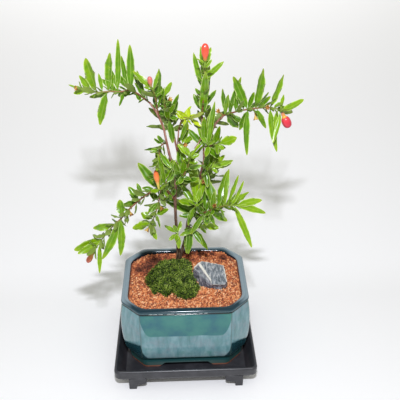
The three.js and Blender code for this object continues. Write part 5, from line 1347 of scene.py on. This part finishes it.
SWEEP_HALF_WIDTH, SWEEP_FRONT, SWEEP_FLAT_TO, SWEEP_RADIUS = 3000, -3000, 84, 150
SWEEP_SLOPE, SWEEP_LENGTH, SWEEP_STEPS = 24, 1800, 8
# The paper is uncoated, so it looks the same white from any side.
white_paper, shader, add = start_material("white seamless paper", roughness=0.9, ior=1.4)
feed(shader.inputs["Base Color"], "#fdfdfd")
profile = [(SWEEP_FRONT, 0), (SWEEP_FLAT_TO, 0)]
for i in range(1, SWEEP_STEPS + 1):
    turn = math.radians(SWEEP_SLOPE) * i / SWEEP_STEPS
    y = SWEEP_FLAT_TO + SWEEP_RADIUS * math.sin(turn)
    profile.append((y, SWEEP_RADIUS * (1 - math.cos(turn))))
y, z = profile[-1]
profile.append((y + SWEEP_LENGTH * math.cos(turn), z + SWEEP_LENGTH * math.sin(turn)))
sweep_points = []
for y, z in profile:
    sweep_points += [(-SWEEP_HALF_WIDTH, y, z), (SWEEP_HALF_WIDTH, y, z)]
sweep_faces = [(2 * i, 2 * i + 1, 2 * i + 3, 2 * i + 2) for i in range(len(profile) - 1)]
sweep = make_piece("paper_sweep", sweep_points, sweep_faces, [white_paper], crease=60)


def add_soft_box(name, position, target, width, height, spread, power, tint):
    """A soft box at a position in millimetres, turned to a target, with a grid that narrows it."""
    lamp = bpy.data.lights.new(name, "AREA")
    lamp.shape = "RECTANGLE"
    lamp.size, lamp.size_y = width, height
    lamp.spread = math.radians(spread)
    lamp.energy = power
    lamp.color = linear(tint)[:3]
    box = bpy.data.objects.new(name, lamp)
    bpy.context.scene.collection.objects.link(box)
    box.location = place(*position)
    box.rotation_euler = (place(*position) - place(*target)).to_track_quat("Z", "Y").to_euler()


add_soft_box("strip light", (0, -525, 804), target=(0, 0, 200), width=0.069, height=0.02, spread=180,
             power=5.8, tint="#f4f6ff")
add_soft_box("backdrop light", (0, 1050, 950), target=(0, 1050, 0), width=1.2, height=0.5, spread=95,
             power=2.3, tint="#ffffff")

# The white room lights the bonsai evenly from every side.
ROOM_LIGHT = 0.5
world = bpy.data.worlds.new("studio")
world.use_nodes = True
background = world.node_tree.nodes["Background"]
background.inputs["Color"].default_value = linear("#fffef8")
background.inputs["Strength"].default_value = ROOM_LIGHT
bpy.context.scene.world = world
bpy.context.scene.view_settings.view_transform = "Standard"

# ---- Camera ----------------------------------------------------------------------------------
# It looks down on the front of the bonsai from about two thirds of a metre.

CAMERA_TARGET = (20.19, 0, 215.18)
CAMERA_DISTANCE, CAMERA_AZIMUTH, CAMERA_ELEVATION, CAMERA_ROLL = 670.9, -2.17, 30.93, 0.22
FOCAL_LENGTH = 53.5
turn, rise = math.radians(CAMERA_AZIMUTH), math.radians(CAMERA_ELEVATION)
out = Vector((math.sin(turn) * math.cos(rise), -math.cos(turn) * math.cos(rise), math.sin(rise)))
across = (-out).cross(Vector((0, 0, 1))).normalized()
up = out.cross(across)
roll = Matrix.Rotation(-math.radians(CAMERA_ROLL), 3, "Z")
lens = bpy.data.cameras.new("camera")
lens.lens = FOCAL_LENGTH
lens.sensor_width = 36
camera = bpy.data.objects.new("camera", lens)
bpy.context.scene.collection.objects.link(camera)
stand = Matrix.Translation(place(*CAMERA_TARGET) + out * CAMERA_DISTANCE / 1000)
camera.matrix_world = stand @ (Matrix((across, up, out)).transposed() @ roll).to_4x4()
bpy.context.scene.camera = camera
